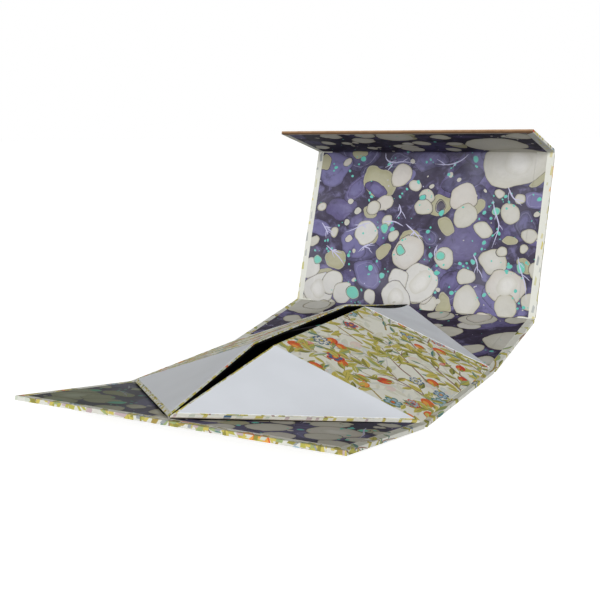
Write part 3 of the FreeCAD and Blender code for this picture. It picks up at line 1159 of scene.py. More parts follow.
    def grow(self, stems: Piece, seed: int, sizes: dict[str, float]) -> bpy.types.Mesh:
        """Sets the motifs on the stems.

        Args:
            stems: The stems, as a mesh of edges.
            seed: The seed.
            sizes: The other inputs, by name.

        Returns:
            The motifs as a plain mesh.
        """
        modifier = stems.modifiers.new("leafy_branches", "NODES")
        modifier.node_group = self.tree
        values = {"Leaves": self.leaves, "Heads": self.heads, "Seed": seed, **sizes}
        for name, value in values.items():
            modifier[self.sockets[name]] = value
        graph = bpy.context.evaluated_depsgraph_get()
        mesh = bpy.data.meshes.new_from_object(stems.evaluated_get(graph))
        stems.modifiers.remove(modifier)
        return mesh


class Motifs:
    """The leaves, fruits and blossoms of the print, each drawn flat and one long."""

    widest = 0.58

    def __init__(self) -> None:
        """Draws them all."""
        self.made: list[Piece] = []
        self.leaves = self.collection("print_leaves", self.leaf_kinds())
        self.heads = self.collection("print_heads", self.head_kinds())

    def collection(self, name: str, kinds: Sequence[Fields]) -> bpy.types.Collection:
        """Draws motifs into a collection.

        Args:
            name: The collection's name.
            kinds: Each motif's fields, with what lies on top last.

        Returns:
            The collection.
        """
        group = bpy.data.collections.new(name)
        dyes = list(Dye)
        for number, fields in enumerate(kinds):
            points, faces, inks = [], [], []
            for outline, dye in fields:
                faces.append(list(range(len(points), len(points) + len(outline))))
                points += [(x, y, 0.0) for x, y in outline]
                inks.append(dyes.index(dye))
            mesh = bpy.data.meshes.new(f"{name}_{number:02d}")
            mesh.from_pydata(points, [], faces)
            layer = mesh.attributes.new("ink", "INT", "FACE")
            layer.data.foreach_set("value", inks)
            motif = bpy.data.objects.new(mesh.name, mesh)
            group.objects.link(motif)
            self.made.append(motif)
        return group

    def blade(self, length: float, half: float, side: int) -> list[Point]:
        """One edge of a leaf, from its foot to its tip.

        Args:
            length: The leaf's length.
            half: Its greatest half width.
            side: 1 or -1, the half whose edge it is.

        Returns:
            The points.
        """
        edge = []
        for share in (0.0, 0.12, 0.3, 0.5, 0.7, 0.88, 1.0):
            swell = sin(pi * share ** (0.5 / self.widest)) if 0 < share < 1 else 0.0
            edge.append((length * share, side * half * swell))
        return edge

    def leaf(self, half: float, upper: Dye, lower: Dye, vein: Dye) -> Fields:
        """A leaf of this half width, in two tones and with its vein."""
        rib = [(-0.12, 0.018), (-0.12, -0.018), (0.5, -0.016), (0.9, 0.0), (0.5, 0.016)]
        return [(self.blade(1.0, half, 1), upper), (self.blade(1.0, half, -1), lower), (rib, vein)]

    def leaf_kinds(self) -> list[Fields]:
        """The leaves, of which the commoner ones come more than once.

        Returns:
            Each one's fields.
        """
        lime, yellow, olive, moss, sage = Dye.LIME, Dye.YELLOW_GREEN, Dye.OLIVE, Dye.MOSS, Dye.SAGE
        kinds = (
            (0.19, lime, yellow, olive), (0.22, lime, olive, moss), (0.17, yellow, lime, olive),
            (0.2, olive, lime, moss), (0.24, yellow, yellow, olive), (0.18, olive, moss, lime),
            (0.2, sage, lime, olive), (0.17, sage, Dye.PALE, Dye.SLATE), (0.18, lime, lime, Dye.PALE),
            (0.15, Dye.BLUE_GREEN, sage, Dye.SLATE), (0.2, lime, yellow, Dye.BARK),
            (0.22, olive, yellow, moss),
        )
        return [self.leaf(*kind) for kind in kinds]

    @staticmethod
    def oval(across: float, along: float, centre: Point, count: int) -> list[Point]:
        """The outline of an oval, from its half width, half length, centre and number of points."""
        turns = [2 * pi * k / count for k in range(count)]
        return [(centre[0] + along * cos(t), centre[1] + across * sin(t)) for t in turns]

    def fruit(self, body: Dye, glow: Dye, shade: Dye) -> Fields:
        """A round fruit with a shaded side, a glow and two small leaves.

        Args:
            body: Its colour.
            glow: The colour of its lit side.
            shade: The colour of its shaded side.

        Returns:
            Its fields.
        """
        upper = [(x * 0.45 - 0.1, y * 0.6 + 0.06) for x, y in self.blade(1.0, 0.24, 1)]
        lower = [(x * 0.42 - 0.1, y * 0.6 - 0.06) for x, y in self.blade(1.0, 0.26, -1)]
        return [
            (self.oval(0.31, 0.4, (0.42, 0.0), 14), shade),
            (self.oval(0.26, 0.36, (0.42, 0.04), 12), body),
            (self.oval(0.13, 0.2, (0.4, 0.12), 10), glow),
            (upper, Dye.LIME),
            (lower, Dye.OLIVE),
        ]

    def blossom(self, petals: int, rim: Dye, inner: Dye, heart: Dye) -> Fields:
        """An open blossom with ringed petals.

        Args:
            petals: How many petals.
            rim: The colour of the petals' rims.
            inner: The colour inside the rims.
            heart: The colour of the middle.

        Returns:
            Its fields.
        """
        steps = petals * 6
        outer, core = [], []
        for k in range(steps):
            turn = 2 * pi * k / steps
            swell = abs(sin(turn * petals / 2)) ** 0.5
            for ring, inward, bulge in ((outer, 0.3, 0.18), (core, 0.2, 0.17)):
                reach = inward + bulge * swell
                ring.append((reach * cos(turn), reach * sin(turn)))
        middle = (0.0, 0.0)
        ring, dot = self.oval(0.17, 0.17, middle, 10), self.oval(0.1, 0.1, middle, 12)
        return [(outer, rim), (core, inner), (ring, rim), (dot, heart)]

    def bud(self, colour: Dye, tip: Dye) -> Fields:
        """A closed bud, with a tip of another colour."""
        body = self.blade(0.62, 0.15, 1) + self.blade(0.62, 0.15, -1)[-2:0:-1]
        return [(body, colour), ([(0.4, 0.08), (0.4, -0.08), (0.66, 0.0)], tip)]

    def head_kinds(self) -> list[Fields]:
        """The fruits, blossoms and buds, of which the commoner ones come more than once.

        Returns:
            Each one's fields.
        """
        orange, amber, red, slate = Dye.ORANGE, Dye.AMBER, Dye.RED, Dye.SLATE
        pale, yellow = Dye.PALE_BLUE, Dye.YELLOW_GREEN
        return [
            self.fruit(orange, amber, red), self.blossom(6, slate, pale, amber),
            self.bud(Dye.PINK, red), self.fruit(red, orange, red),
            self.blossom(7, slate, Dye.PALE, yellow), self.blossom(8, red, pale, slate),
            self.fruit(amber, yellow, orange), self.blossom(5, red, slate, amber),
            self.fruit(orange, amber, orange), self.fruit(orange, yellow, red),
            self.blossom(6, Dye.BLUE_GREEN, pale, orange), self.bud(pale, slate),
        ]


@dataclass
class BotanicalPrint:
    """A generic print of leafy branches, for one sheet of cover paper."""

    low: Point
    high: Point
    heading: float
    seed: int
    spacing: float = 15.0
    run: float = 36.0
    longest: float = 100.0
    step: float = 2.4
    clear: Place = (9.5, 5.0, 4.0)
    faint: float = 1.0
    fillers: int = 300
    leaf_size: float = 9.8
    leaf_angle: float = 0.72
    leaf_spacing: float = 4.3
    size_spread: float = 0.28
    head_size: float = 11.0
    ground: Colour = tint(232, 232, 225)
    stems: list[Stem] = field(default_factory=list)
    random: Random = field(init=False)

    def __post_init__(self) -> None:
        """Starts the print's own random draws."""
        self.random = Random(self.seed)

    def grow(
        self, start: Vector, heading: float, length: float, width: float, parent: Stem | None
    ) -> None:
        """Grows a stem, until it is long enough or comes near another.

        Args:
            start: Its foot.
            heading: Its direction.
            length: How long it may get.
            width: Its width at its foot.
            parent: The stem that it grows from.
        """
        random = self.random
        order = parent.order + 1 if parent else 0
        clear = self.clear[order]
        others = [[tuple(p) for p in stem.line] for stem in self.stems if stem is not parent]
        taken = np.array([spot for line in others for spot in line] or [(1e6, 1e6)])
        bend = random.uniform(-0.04, 0.04)
        line = [start.copy()]
        for _ in range(int(length / self.step)):
            bend = max(-0.06, min(0.06, bend + random.gauss(0, 0.015)))
            heading += bend
            spot = line[-1] + Vector((cos(heading), sin(heading))) * self.step
            near = np.hypot(taken[:, 0] - spot.x, taken[:, 1] - spot.y).min()
            if len(line) > (0 if order == 0 else 2) and near < clear:
                break
            line.append(spot)
        if len(line) > 3:
            self.stems.append(Stem(line, width, order))

    def branch(self, order: int) -> None:
        """Grows side stems from the stems of one order.

        Args:
            order: The order that they grow from.
        """
        random = self.random
        for stem in [s for s in self.stems if s.order == order]:
            side = random.choice((-1, 1))
            following = random.uniform(5, 10)
            for first, second in zip(stem.line, stem.line[1:]):
                following -= self.step
                if following < 0:
                    ahead = second - first
                    heading = atan2(ahead.y, ahead.x) + side * random.uniform(0.45, 0.95)
                    reach = random.uniform(18, 42) if order == 0 else random.uniform(7, 15)
                    self.grow(second, heading, reach, stem.width * 0.6, stem)
                    side = -side
                    following = random.uniform(7, 12)

    def plant(self) -> None:
        """Grows main branches all over the sheet, and then their side stems."""
        draw = self.random.uniform
        ahead = Vector((cos(self.heading), sin(self.heading)))
        across = Vector((-ahead.y, ahead.x))
        middle = Vector([(a + b) / 2 for a, b in zip(self.low, self.high)])
        reach = hypot(self.high[0] - self.low[0], self.high[1] - self.low[1]) / 2
        rows = ceil(2 * reach / self.run) + 1
        columns = ceil(2 * reach / self.spacing) + 1
        for row in range(rows):
            for column in range(columns):
                along = -reach + self.run * (row - 0.7 + 0.5 * (column % 2)) + draw(-9, 9)
                aside = -reach + self.spacing * column + draw(-6, 6)
                foot = middle + ahead * along + across * aside
                length = self.longest * draw(0.5, 1.0)
                turn = self.heading + draw(-0.35, 0.35)
                inside = all(
                    low - length * 0.8 < value < high + length * 0.8
                    for low, value, high in zip(self.low, foot, self.high)
                )
                if inside:
                    self.grow(foot, turn, length, draw(1.3, 1.9), None)
        for _ in range(self.fillers):
            foot = Vector([draw(*ends) for ends in zip(self.low, self.high)])
            turn = self.heading + draw(-0.8, 0.8)
            self.grow(foot, turn, draw(14, 34), draw(1.0, 1.4), None)
        self.branch(0)
        self.branch(1)

    def ribbon(self, stem: Stem) -> InkShape:
        """A stem as a tapered field of ink.

        Args:
            stem: The stem.

        Returns:
            Its shape.
        """
        left, right = [], []
        for k, point in enumerate(stem.line):
            _, aside = course(stem.line, k)
            half = stem.width / 2 * (1 - 0.65 * k / (len(stem.line) - 1))
            left.append(point + aside * half)
            right.append(point - aside * half)
        dye = Dye.GOLD if stem.order == 0 and self.random.random() < 0.45 else Dye.BARK
        return InkShape([tuple(p) for p in right + left[::-1]], self.ink(dye))

    def ink(self, dye: Dye) -> Colour:
        """A dye's colour, as it is printed on this sheet."""
        return blended(self.ground, dye.value, self.faint)

    def print(self, tree: LeafyBranches) -> Ink:
        """Prints the sheet.

        Args:
            tree: The tree that sets the motifs on the stems.

        Returns:
            The ink, with what lies on top last.
        """
        self.plant()
        shapes = [self.ribbon(stem) for stem in self.stems]
        for order, share in ((0, 0.7), (1, 0.5), (2, 0.06)):
            points, edges = [], []
            for stem in (s for s in self.stems if s.order == order):
                skip = 0 if order else len(stem.line) // 2
                line = stem.line[skip:]
                edges += [(len(points) + k, len(points) + k + 1) for k in range(len(line) - 1)]
                points += [(p.x, p.y, 0.0) for p in line]
            mesh = bpy.data.meshes.new("print_stems")
            mesh.from_pydata(points, edges, [])
            stems = linked("print_stems", mesh)
            sizes = {
                "Spacing": self.leaf_spacing, "Leaf Angle": self.leaf_angle, "Head Share": share,
                "Leaf Size": self.leaf_size, "Size Spread": self.size_spread,
                "Head Size": self.head_size,
            }
            motifs = tree.grow(stems, self.seed + order, sizes)
            shapes += self.read(motifs)
            bpy.data.objects.remove(stems)
            bpy.data.meshes.remove(motifs)
        return shapes

    def read(self, mesh: bpy.types.Mesh) -> Ink:
        """The faces of a mesh as fields of ink.

        Args:
            mesh: The mesh, with each face's ink.

        Returns:
            The ink.
        """
        dyes = [self.ink(dye) for dye in Dye]
        spots = np.zeros(len(mesh.vertices) * 3, np.float32)
        mesh.vertices.foreach_get("co", spots)
        spots = spots.reshape(-1, 3)[:, :2].astype(float)
        inks = mesh.attributes["ink"].data
        faces = mesh.polygons
        return [InkShape(spots[list(f.vertices)], dyes[inks[f.index].value]) for f in faces]


# ---- The folded case --------------------


@dataclass
class CaseStrip:
    """The strip of five boards: front, base, back, lid and flap, folded between them.

    A place on the strip is given by how far along it lies from the front's free edge, and
    by its height above the boards' inner faces.
    """

    depth: float = 125.0
    height: float = 100.0
    flap: float = 66.0
    lid_spare: float = 3.0
    half_width: float = 100.0
    board: float = 2.0
    fold_gap: float = 3.0
    wall_angle: float = 20.3
    front_slack: float = 0.6
    back_slack: float = 1.9
    lid_angle: float = 70.5
    flap_angle: float = 165.9

    def __post_init__(self) -> None:
        """Works out where each board starts and how it lies."""
        gusset = asin(tan(radians(self.wall_angle) / 2))
        front = gusset - radians(self.front_slack)
        back = gusset - radians(self.back_slack)
        self.angles = [-front, 0.0, back, radians(self.lid_angle), radians(self.flap_angle)]
        lengths = [self.height, self.depth, self.height, self.depth + self.lid_spare, self.flap]
        self.stops = [0.0]
        for length in lengths:
            self.stops.append(self.stops[-1] + length)
        level = self.board + PAPER
        first = (-self.depth / 2 - self.height * cos(front), level + self.height * sin(front))
        self.corners = [first]
        for angle, length in zip(self.angles, lengths):
            y, z = self.corners[-1]
            self.corners.append((y + length * cos(angle), z + length * sin(angle)))

    @property
    def folds(self) -> list[float]:
        """Where the four folds lie along the strip."""
        return self.stops[1:-1]

    @property
    def length(self) -> float:
        """The strip's whole length."""
        return self.stops[-1]

    def place(self, across: Array, along: Array, height: Array) -> Array:
        """Where places on the strip lie in the frame.

        Args:
            across: How far from the middle they are.
            along: How far along the strip they are.
            height: How far above the boards' inner faces they are.

        Returns:
            The points, in millimetres.
        """
        last = len(self.angles) - 1
        panel = np.clip(np.searchsorted(self.stops, along, side="right") - 1, 0, last)
        points = np.zeros((len(along), 3))
        for number in range(last + 1):
            mine = panel == number
            length = self.stops[number + 1] - self.stops[number]
            angle = self.angles[number]
            way, rise = along[mine] - self.stops[number], height[mine]
            if number > 0:
                way = self.mitred(way, rise, angle - self.angles[number - 1])
            if number < last:
                way = length - self.mitred(length - way, rise, self.angles[number + 1] - angle)
            y, z = self.corners[number]
            points[mine, 1] = y + way * cos(angle) - rise * sin(angle)
            points[mine, 2] = z + way * sin(angle) + rise * cos(angle)
        points[:, 0] = across
        return points

    def mitred(self, way: Array, rise: Array, bend: float) -> Array:
        """Distances from a fold, squeezed beside it so that two boards' papers meet.

        Args:
            way: The distances.
            rise: The heights above the board.
            bend: The fold's angle.

        Returns:
            The new distances.
        """
        half_gap = self.fold_gap / 2
        shift = rise * tan(bend / 2)
        return np.where(way < half_gap, shift + (half_gap - shift) * way / half_gap, way)

    def from_fold(self, along: Array) -> Array:
        """How far places along the strip are from the nearest fold."""
        return np.min(np.abs(along[:, None] - np.array(self.folds)[None, :]), axis=1)

    def creases(
        self, reach: float, distances: Floats, sides: Floats, ends: Floats, spare: float
    ) -> list[Line]:
        """The lines that a paper on the strip bends along.

        Args:
            reach: How far those across the strip go, to each side.
            distances: How far they lie from a fold, on both sides of each.
            sides: Where those along the strip lie.
            ends: How far from the strip's two ends others across it lie.
            spare: How far those along the strip run past its ends.

        Returns:
            The lines.
        """
        across = []
        for fold in self.folds:
            for distance in distances:
                across += [fold - distance, fold + distance] if distance else [fold]
        lines = [((-reach, at), (reach, at)) for at in across]
        lines += [((x, -spare), (x, self.length + spare)) for x in sides]
        for end in ends:
            lines += [((-reach, at), (reach, at)) for at in (end, self.length - end)]
        return lines


@dataclass
class CaseCover:
    """The printed cover paper: over the boards' outside, round their edges and turned in."""

    strip: CaseStrip
    lap: float = 13.2
    margin: float = 20.0
    split: float = 447.0
    groove: tuple[Point, ...] = (
        (0.0, 0.45), (0.7, 0.48), (1.1, 0.65), (1.3, 1.2), (1.42, 1.9), (1.62, 2.15), (2.1, 2.2),
    )
    back: Colour = tint(197, 176, 146)
    ground: Colour = tint(222, 222, 213)
    # Brown bands past the flap's free edge: where each starts and ends, and its colour, darker towards the
    # underside
    brown_bands: tuple[tuple[float, float, Colour], ...] = (
        (-0.8, 0.5, tint(197, 172, 144)), (0.3, 1.5, tint(158, 124, 94)), (1.3, 8.4, tint(100, 76, 56)),
    )

    @property
    def edge(self) -> float:
        """Half of the covered width."""
        return self.strip.half_width + PAPER

    @property
    def wall(self) -> float:
        """The height of a covered edge."""
        return self.strip.board + 2 * PAPER

    @property
    def reach(self) -> float:
        """Half of the flat paper's width."""
        return self.edge + self.wall + self.lap

    def place(self, flat: Array, inset: float) -> Array:
        """Wraps flat points of the cover round the boards.

        Args:
            flat: The points, across and along.
            inset: How far inside the printed face they lie.

        Returns:
            Their places.
        """
        across, along = flat[:, 0], flat[:, 1]
        beyond_side = np.abs(across) - self.edge
        first, last = -PAPER, self.strip.length + PAPER
        beyond_end = np.maximum(first - along, along - last)
        beyond = np.maximum(beyond_side, beyond_end)
        kept = np.clip(along, first, last)
        distances, depths = zip(*self.groove)
        low = inset - np.interp(self.strip.from_fold(kept), distances, depths)
        high = PAPER - inset
        share = np.clip(beyond / self.wall, 0, 1)
        height = low + (high - low) * share
        turned_side = np.maximum(beyond_side - self.wall, 0)
        turned_end = np.maximum(beyond_end - self.wall, 0)
        x = np.clip(np.abs(across), 0, self.edge) - turned_side
        x = np.minimum(x, self.edge - inset) * np.sign(across)
        s = np.where(along < first, first + turned_end, np.where(along > last, last - turned_end, along))
        s = np.clip(s, first + inset, last - inset)
        return self.strip.place(x, s, height)

    def creases(self) -> list[Line]:
        """The lines that the cover bends along.

        Returns:
            The lines.
        """
        distances = [distance for distance, _ in self.groove] + [self.strip.fold_gap / 2]
        sides = [sign * x for sign in (-1, 1) for x in (self.edge, self.edge + self.wall)]
        ends = (-PAPER, -PAPER - self.wall)
        spare = self.wall + self.lap + 1
        return self.strip.creases(self.reach + 1, distances, sides, ends, spare)

    def cut(self, upper: bool) -> list[Point]:
        """The outline of one part of the cover, with its corners cut away.

        Args:
            upper: Whether it is the flap's part, and not the case's and the lid's.

        Returns:
            The outline.
        """
        edge, wall, lap = self.edge, self.wall, self.lap
        # From the corner outwards: the turned-in end, the board's corner, the turned-in side
        end = self.strip.length + PAPER if upper else -PAPER
        out = 1 if upper else -1
        side = [
            (self.reach, self.split),
            (self.reach, end - out * lap),
            (edge + wall, end),
            (edge, end),
            (edge, end + out * wall),
            (edge - lap, end + out * wall + out * lap),
        ]
        return mirrored_pairs(side if upper else side[::-1])

    def build(self, shapes: Ink, finish: Finish) -> list[Piece]:
        """Folds both parts of the cover.

        Args:
            shapes: The print.
            finish: The paper's finish.

        Returns:
            The case's and lid's part, and the flap's part.
        """
        pieces = []
        for name, upper, trim in (
            ("printed_cover_case", False, self.front_trim()),
            ("printed_cover_flap", True, self.brown_free_edge()),
        ):
            lines = (self.cut(upper), self.creases())
            paper = FlatPaper(*lines, self.place, finish, InkShape([], self.ground), self.back, True)
            pieces.append(paper.fold(name, [*shapes, *self.bare_margins(), *trim]))
        return pieces

    def bare_margins(self) -> Ink:
        """The sides of the lid and the flap, where the turned-in paper has hardly any print.

        Returns:
            The ink.
        """
        random = Random(23)
        inner, outer = self.edge + self.wall * 0.7, self.reach + 1
        low, flap, high = self.strip.folds[2] - 1, self.strip.folds[3], self.strip.length + self.margin
        dyes = (Dye.LIME, Dye.YELLOW_GREEN, Dye.MIST) * 3 + (Dye.SAGE, Dye.AMBER)
        # Painted shade: the flap's margins are a darker grey than the lid's
        painted_shade = blended(self.ground, Dye.MIST.value, 0.55)
        shapes = []
        for side in (-1, 1):
            left, right = sorted((side * inner, side * outer))
            for start, end, colour in ((low, flap, self.ground), (flap, high, painted_shade)):
                ring = [(left, start), (right, start), (right, end), (left, end)]
                shapes.append(InkShape(ring, colour))
            along = low
            while along < high:
                long = random.uniform(2.0, 9.0)
                across = side * (inner + random.choice((0.1, 0.5, 0.9, 1.5, 2.3, 3.2)))
                wide = side * random.uniform(0.9, 2.2)
                dab = [(across, along), (across + wide, along + 0.4)]
                dab += [(across + wide * 0.6, along + long), (across - wide * 0.3, along + long * 0.7)]
                colour = blended(self.ground, random.choice(dyes).value, random.uniform(0.4, 0.9))
                shapes.append(InkShape(dab, colour))
                along += long + random.uniform(0.5, 7.0)
        return shapes

    def front_trim(self) -> Ink:
        """The leaves along the front's free edge, where the print is densest.

        Returns:
            The ink.
        """
        random = Random(17)
        dyes = (
            Dye.LIME, Dye.YELLOW_GREEN, Dye.OLIVE, Dye.SAGE, Dye.MIST, Dye.ROSE, Dye.GOLD,
            Dye.YELLOW_GREEN, Dye.MIST, Dye.LIME, Dye.PALE, Dye.GHOST,
        )
        shapes = []
        across = -self.edge
        while across < self.edge:
            wide = random.uniform(1.2, 4.2)
            low = -PAPER - self.wall - random.uniform(0.1, 2.5)
            high = random.uniform(-1.8, 0.2)
            lean = random.uniform(-2.5, 2.5)
            ring = [(across, low), (across + wide, low + 0.3)]
            ring += [(across + wide * 0.9 + lean, high), (across + lean, high - 0.3)]
            shapes.append(InkShape(ring, random.choice(dyes).value))
            across += wide * random.uniform(0.6, 1.5)
        return shapes

    def brown_free_edge(self) -> Ink:
        """The flap's free edge, in brown bands that get darker from its top face round to its underside.

        Returns:
            The ink.
        """
        end = self.strip.length + PAPER
        xs = np.linspace(-self.edge, self.edge, 80)
        bands = []
        for low, high, colour in self.brown_bands:
            rough = Random(5)
            lower = [(x, end + low + rough.uniform(-0.12, 0.12)) for x in xs]
            upper = [(x, end + high + rough.uniform(-0.1, 0.1)) for x in xs]
            bands.append(InkShape(lower + upper[::-1], colour))
        return bands


@dataclass
class CaseLining:
    """The marbled lining paper, stepped up over the cover's turned-in edges."""

    strip: CaseStrip
    margin: float = 5.0
    end_margin: float = 1.5
    lap: float = 13.0
    ramp: float = 0.8
    split: float = 447.0
    sink: tuple[Point, ...] = ((0.0, 0.24), (0.8, 0.2), (1.5, 0.0))
    back: Colour = tint(188, 184, 176)

    def place(self, flat: Array, inset: float) -> Array:
        """Lays flat points of the lining on the boards.

        Args:
            flat: The points, across and along.
            inset: How far under the marbled face they lie.

        Returns:
            Their places.
        """
        across, along = flat[:, 0], flat[:, 1]
        inner = self.strip.half_width - self.lap
        over = np.maximum(np.abs(across) - inner, self.lap - along)
        over = np.maximum(over, along - (self.strip.length - self.lap))
        step = np.clip(1 + over / self.ramp, 0, 1)
        distances, depths = zip(*self.sink)
        sunk = np.interp(self.strip.from_fold(along), distances, depths)
        height = PAPER * (1 + step) - sunk - inset
        return self.strip.place(across, along, height)

    def creases(self) -> list[Line]:
        """The lines that the lining bends along.

        Returns:
            The lines.
        """
        half = self.strip.half_width
        inner = half - self.lap
        distances = [distance for distance, _ in self.sink]
        sides = [sign * x for x in (inner, inner - self.ramp) for sign in (-1, 1)]
        ends = (self.lap, self.lap + self.ramp)
        return self.strip.creases(half, distances, sides, ends, 0.0)

    def build(self, shapes: Ink, finish: Finish) -> list[Piece]:
        """Lays both parts of the lining.

        Args:
            shapes: The marbling.
            finish: The paper's finish.

        Returns:
            The case's and lid's part, and the flap's part.
        """
        ground = InkShape([], *Stone.PLUM.value)
        half = self.strip.half_width - self.margin
        end = self.strip.length - self.end_margin
        pieces = []
        for name, low, high in (
            ("marbled_lining_case", self.margin, self.split),
            ("marbled_lining_flap", self.split, end),
        ):
            lines = (mirrored_pairs([(half, low), (half, high)]), self.creases())
            paper = FlatPaper(*lines, self.place, finish, ground, self.back)
            pieces.append(paper.fold(name, shapes))
        return pieces


# ---- The collar --------------------


@dataclass
class CollarCover:
    """The printed paper over one side wall and its two gussets.

    A place on the flat paper is given along the wall, from its middle, and up its slope.
    """

    side: int
    half_depth: float = 62.5
    hinge_x: float = 97.0
    hinge_z: float = 3.2
    wall_angle: float = 20.3
    board: float = 1.2
    glued_level: float = 2.6
    foot: float = 10.0
    under: float = 12.0
    rim: float = 0.8
    notch: float = 0.6
    shown: float = 0.65
    bow: float = 5.2
    inset_foot: float = 1.5
    least: float = 1e-6
    tip_gap: float = 0.1
    dark: Colour = (0.0035, 0.003, 0.003)
    ground: Colour = tint(236, 235, 224)
    back: Colour = tint(214, 210, 200)

    def __post_init__(self) -> None:
        """Works out the collar's height and its planes."""
        slope = radians(self.wall_angle)
        gusset = asin(tan(slope / 2))
        lean = (self.board + PAPER) * sin(slope)
        self.height = self.hinge_x - lean - self.tip_gap
        self.up = np.array([-self.side * cos(slope), 0.0, sin(slope)])
        self.normal = np.array([self.side * sin(slope), 0.0, cos(slope)])
        self.reach, self.facing, self.mitre = {}, {}, {}
        for end in (-1, 1):
            tip = np.array([-self.side, end * cos(gusset), sin(gusset)])
            away = tip - self.up
            facing = np.cross(away, self.up) * end * self.side
            facing /= np.linalg.norm(facing)
            self.reach[end] = away
            self.facing[end] = facing
            self.mitre[end] = (self.normal + facing) / (1 + self.normal @ facing)

    @property
    def wrap(self) -> float:
        """How far the paper goes down over the top edge."""
        return self.board + 3 * PAPER

    def place(self, flat: Array, inset: float) -> Array:
        """Folds flat points over the wall and its gussets, this far inside the printed face."""
        return np.array([self.one(p, q, inset) for p, q in flat])

    def one(self, p: float, q: float, inset: float) -> Array:
        """Folds one flat point.

        Args:
            p: How far it is along the wall.
            q: How far it is up the slope.
            inset: How far inside the printed face it lies.

        Returns:
            Its place.
        """
        lift = PAPER - inset
        end = 1 if p > 0 else -1
        aside = abs(p) - self.half_depth
        down = q - self.height
        if q < -self.least and aside < self.least:
            # The strip that glues the wall to the base
            top = self.one(p, 0.0, inset)
            bottom = np.array([self.side * (self.hinge_x - inset), p, self.glued_level + inset])
            if -q <= self.rim:
                return top + (bottom - top) * (-q / self.rim)
            return bottom - np.array([self.side * (-q - self.rim), 0.0, 0.0])
        if aside > self.least:
            past = (aside - q) / sqrt(2)
            if past > self.least:
                aside -= (past + inset) / sqrt(2)
                q += (past + inset) / sqrt(2)
                lift -= past
        if down > self.least:
            if down <= self.wrap + self.least:
                lift += (-self.wrap + 2 * inset) * min(1.0, down / self.wrap)
                q = self.height - inset
            else:
                lift = PAPER - self.wrap + inset
                q = self.height - inset - (down - self.wrap)
        foot = np.array([self.side * self.hinge_x, p, self.hinge_z])
        if aside > self.least:
            foot[1] = end * self.half_depth
            return foot + self.up * q + self.reach[end] * aside + self.facing[end] * lift
        normal = self.mitre[end] if aside > -self.least else self.normal
        return foot + self.up * q + normal * lift

    def cut(self) -> list[Point]:
        """The paper's outline: wall, gussets, foot and turned-in edges.

        Returns:
            The outline.
        """
        half, height, rim = self.half_depth, self.height, self.rim / sqrt(2)
        inner, notched = half - self.inset_foot, half - self.notch
        wide, top = half + height, height + self.wrap
        side = [
            (inner, -self.rim - self.foot), (inner, 0.0), (half, 0.0), (half + rim, -rim),
            (wide + rim, height - rim), (wide, height), (wide, top), (half, top),
            (notched, top), (notched, top + self.under),
        ]
        return mirrored_pairs(side)

    def creases(self) -> list[Line]:
        """The lines that the paper folds along.

        Returns:
            The lines.
        """
        half, height = self.half_depth, self.height
        wide, inner = half + height, half - self.inset_foot
        lines = [
            ((-wide, height), (wide, height)),
            ((-half, height + self.wrap), (half, height + self.wrap)),
            ((-half, 0.0), (half, 0.0)),
            ((-inner, -self.rim), (inner, -self.rim)),
        ]
        for end in (-1, 1):
            lines.append(((end * half, 0.0), (end * half, height + self.wrap)))
            lines.append(((end * half, 0.0), (end * wide, height)))
        return lines

    def build(self, name: str, shapes: Ink, finish: Finish) -> Piece:
        """Folds the paper.

        Args:
            name: The piece's name.
            shapes: The print.
            finish: The paper's finish.

        Returns:
            The piece.
        """
        lines = (self.cut(), self.creases())
        ground = InkShape([], self.ground)
        paper = FlatPaper(*lines, self.place, finish, ground, self.back, self.side < 0)
        ink = [*shapes, *self.foot_trim(), *self.rim_trim(), self.dark_edge()]
        return paper.fold(name, ink)

    def bowed_lap(self, name: str, finish: Finish) -> Piece:
        """A crescent of the inside's black paper, laid on a gusset's straight facing along its free edge,
        where the liner shows past a bowed gusset.

        Args:
            name: The piece's name.
            finish: The black paper's finish.

        Returns:
            The piece.
        """
        top = self.height - 0.1
        shares = [k / 24 for k in range(25)]
        low = [(s, top - self.bow * 4 * s * (1 - s)) for s in shares]
        high = [(s, top) for s in shares[-2:0:-1]]
        outline = [(self.half_depth + self.height * s, q) for s, q in low + high]
        on_facing = 2 * PAPER

        def place(flat: Array, inset: float) -> Array:
            """Lays it on the gusset's facing."""
            return self.place(flat, inset - on_facing)

        ground = InkShape([], self.dark)
        return FlatPaper(outline, [], place, finish, ground, self.dark, self.side < 0).fold(name, [])

    def foot_trim(self) -> Ink:
        """The bits of the print that show along the gussets' feet, on a bare ground.

        Returns:
            The ink.
        """
        random = Random(47 + self.side)
        dyes = (Dye.LIME, Dye.YELLOW_GREEN, Dye.GHOST, Dye.SLATE, Dye.YELLOW_GREEN, Dye.ROSE)
        shapes = []
        for end in (-1, 1):
            along, long, dye = 0.0, self.height + 2.0, None
            while along < self.height:
                ring = [(along - 2.0, along), (along + 1.2, along - 1.2)]
                ring += [(along + long + 1.2, along + long - 1.2), (along + long - 2.0, along + long)]
                ring = [(end * (self.half_depth + p), q) for p, q in ring]
                if dye is None:
                    shapes.append(InkShape(ring, self.ground))
                    along = random.uniform(0.5, 3.0)
                else:
                    shapes.append(InkShape(ring, dye.value))
                    along += long + random.uniform(0.8, 7.0)
                dye, long = random.choice(dyes), random.uniform(0.8, 3.2)
        return shapes

    def rim_trim(self) -> Ink:
        """The bits of the print that show along the free edges.

        Returns:
            The ink.
        """
        random = Random(31 + self.side)
        dyes = (Dye.LIME, Dye.YELLOW_GREEN, Dye.PALE, Dye.GHOST, Dye.YELLOW_GREEN, Dye.GHOST)
        wide = self.half_depth + self.height
        shapes = []
        along = -wide
        while along < wide:
            long = random.uniform(1.2, 4.0)
            low = self.height - random.uniform(0.4, 1.6)
            ring = [(along, low), (along + long, low + 0.3)]
            ring += [(along + long, self.height + 1.0), (along, self.height + 1.0)]
            shapes.append(InkShape(ring, random.choice(dyes).value))
            along += long * random.uniform(0.9, 1.8)
        return shapes

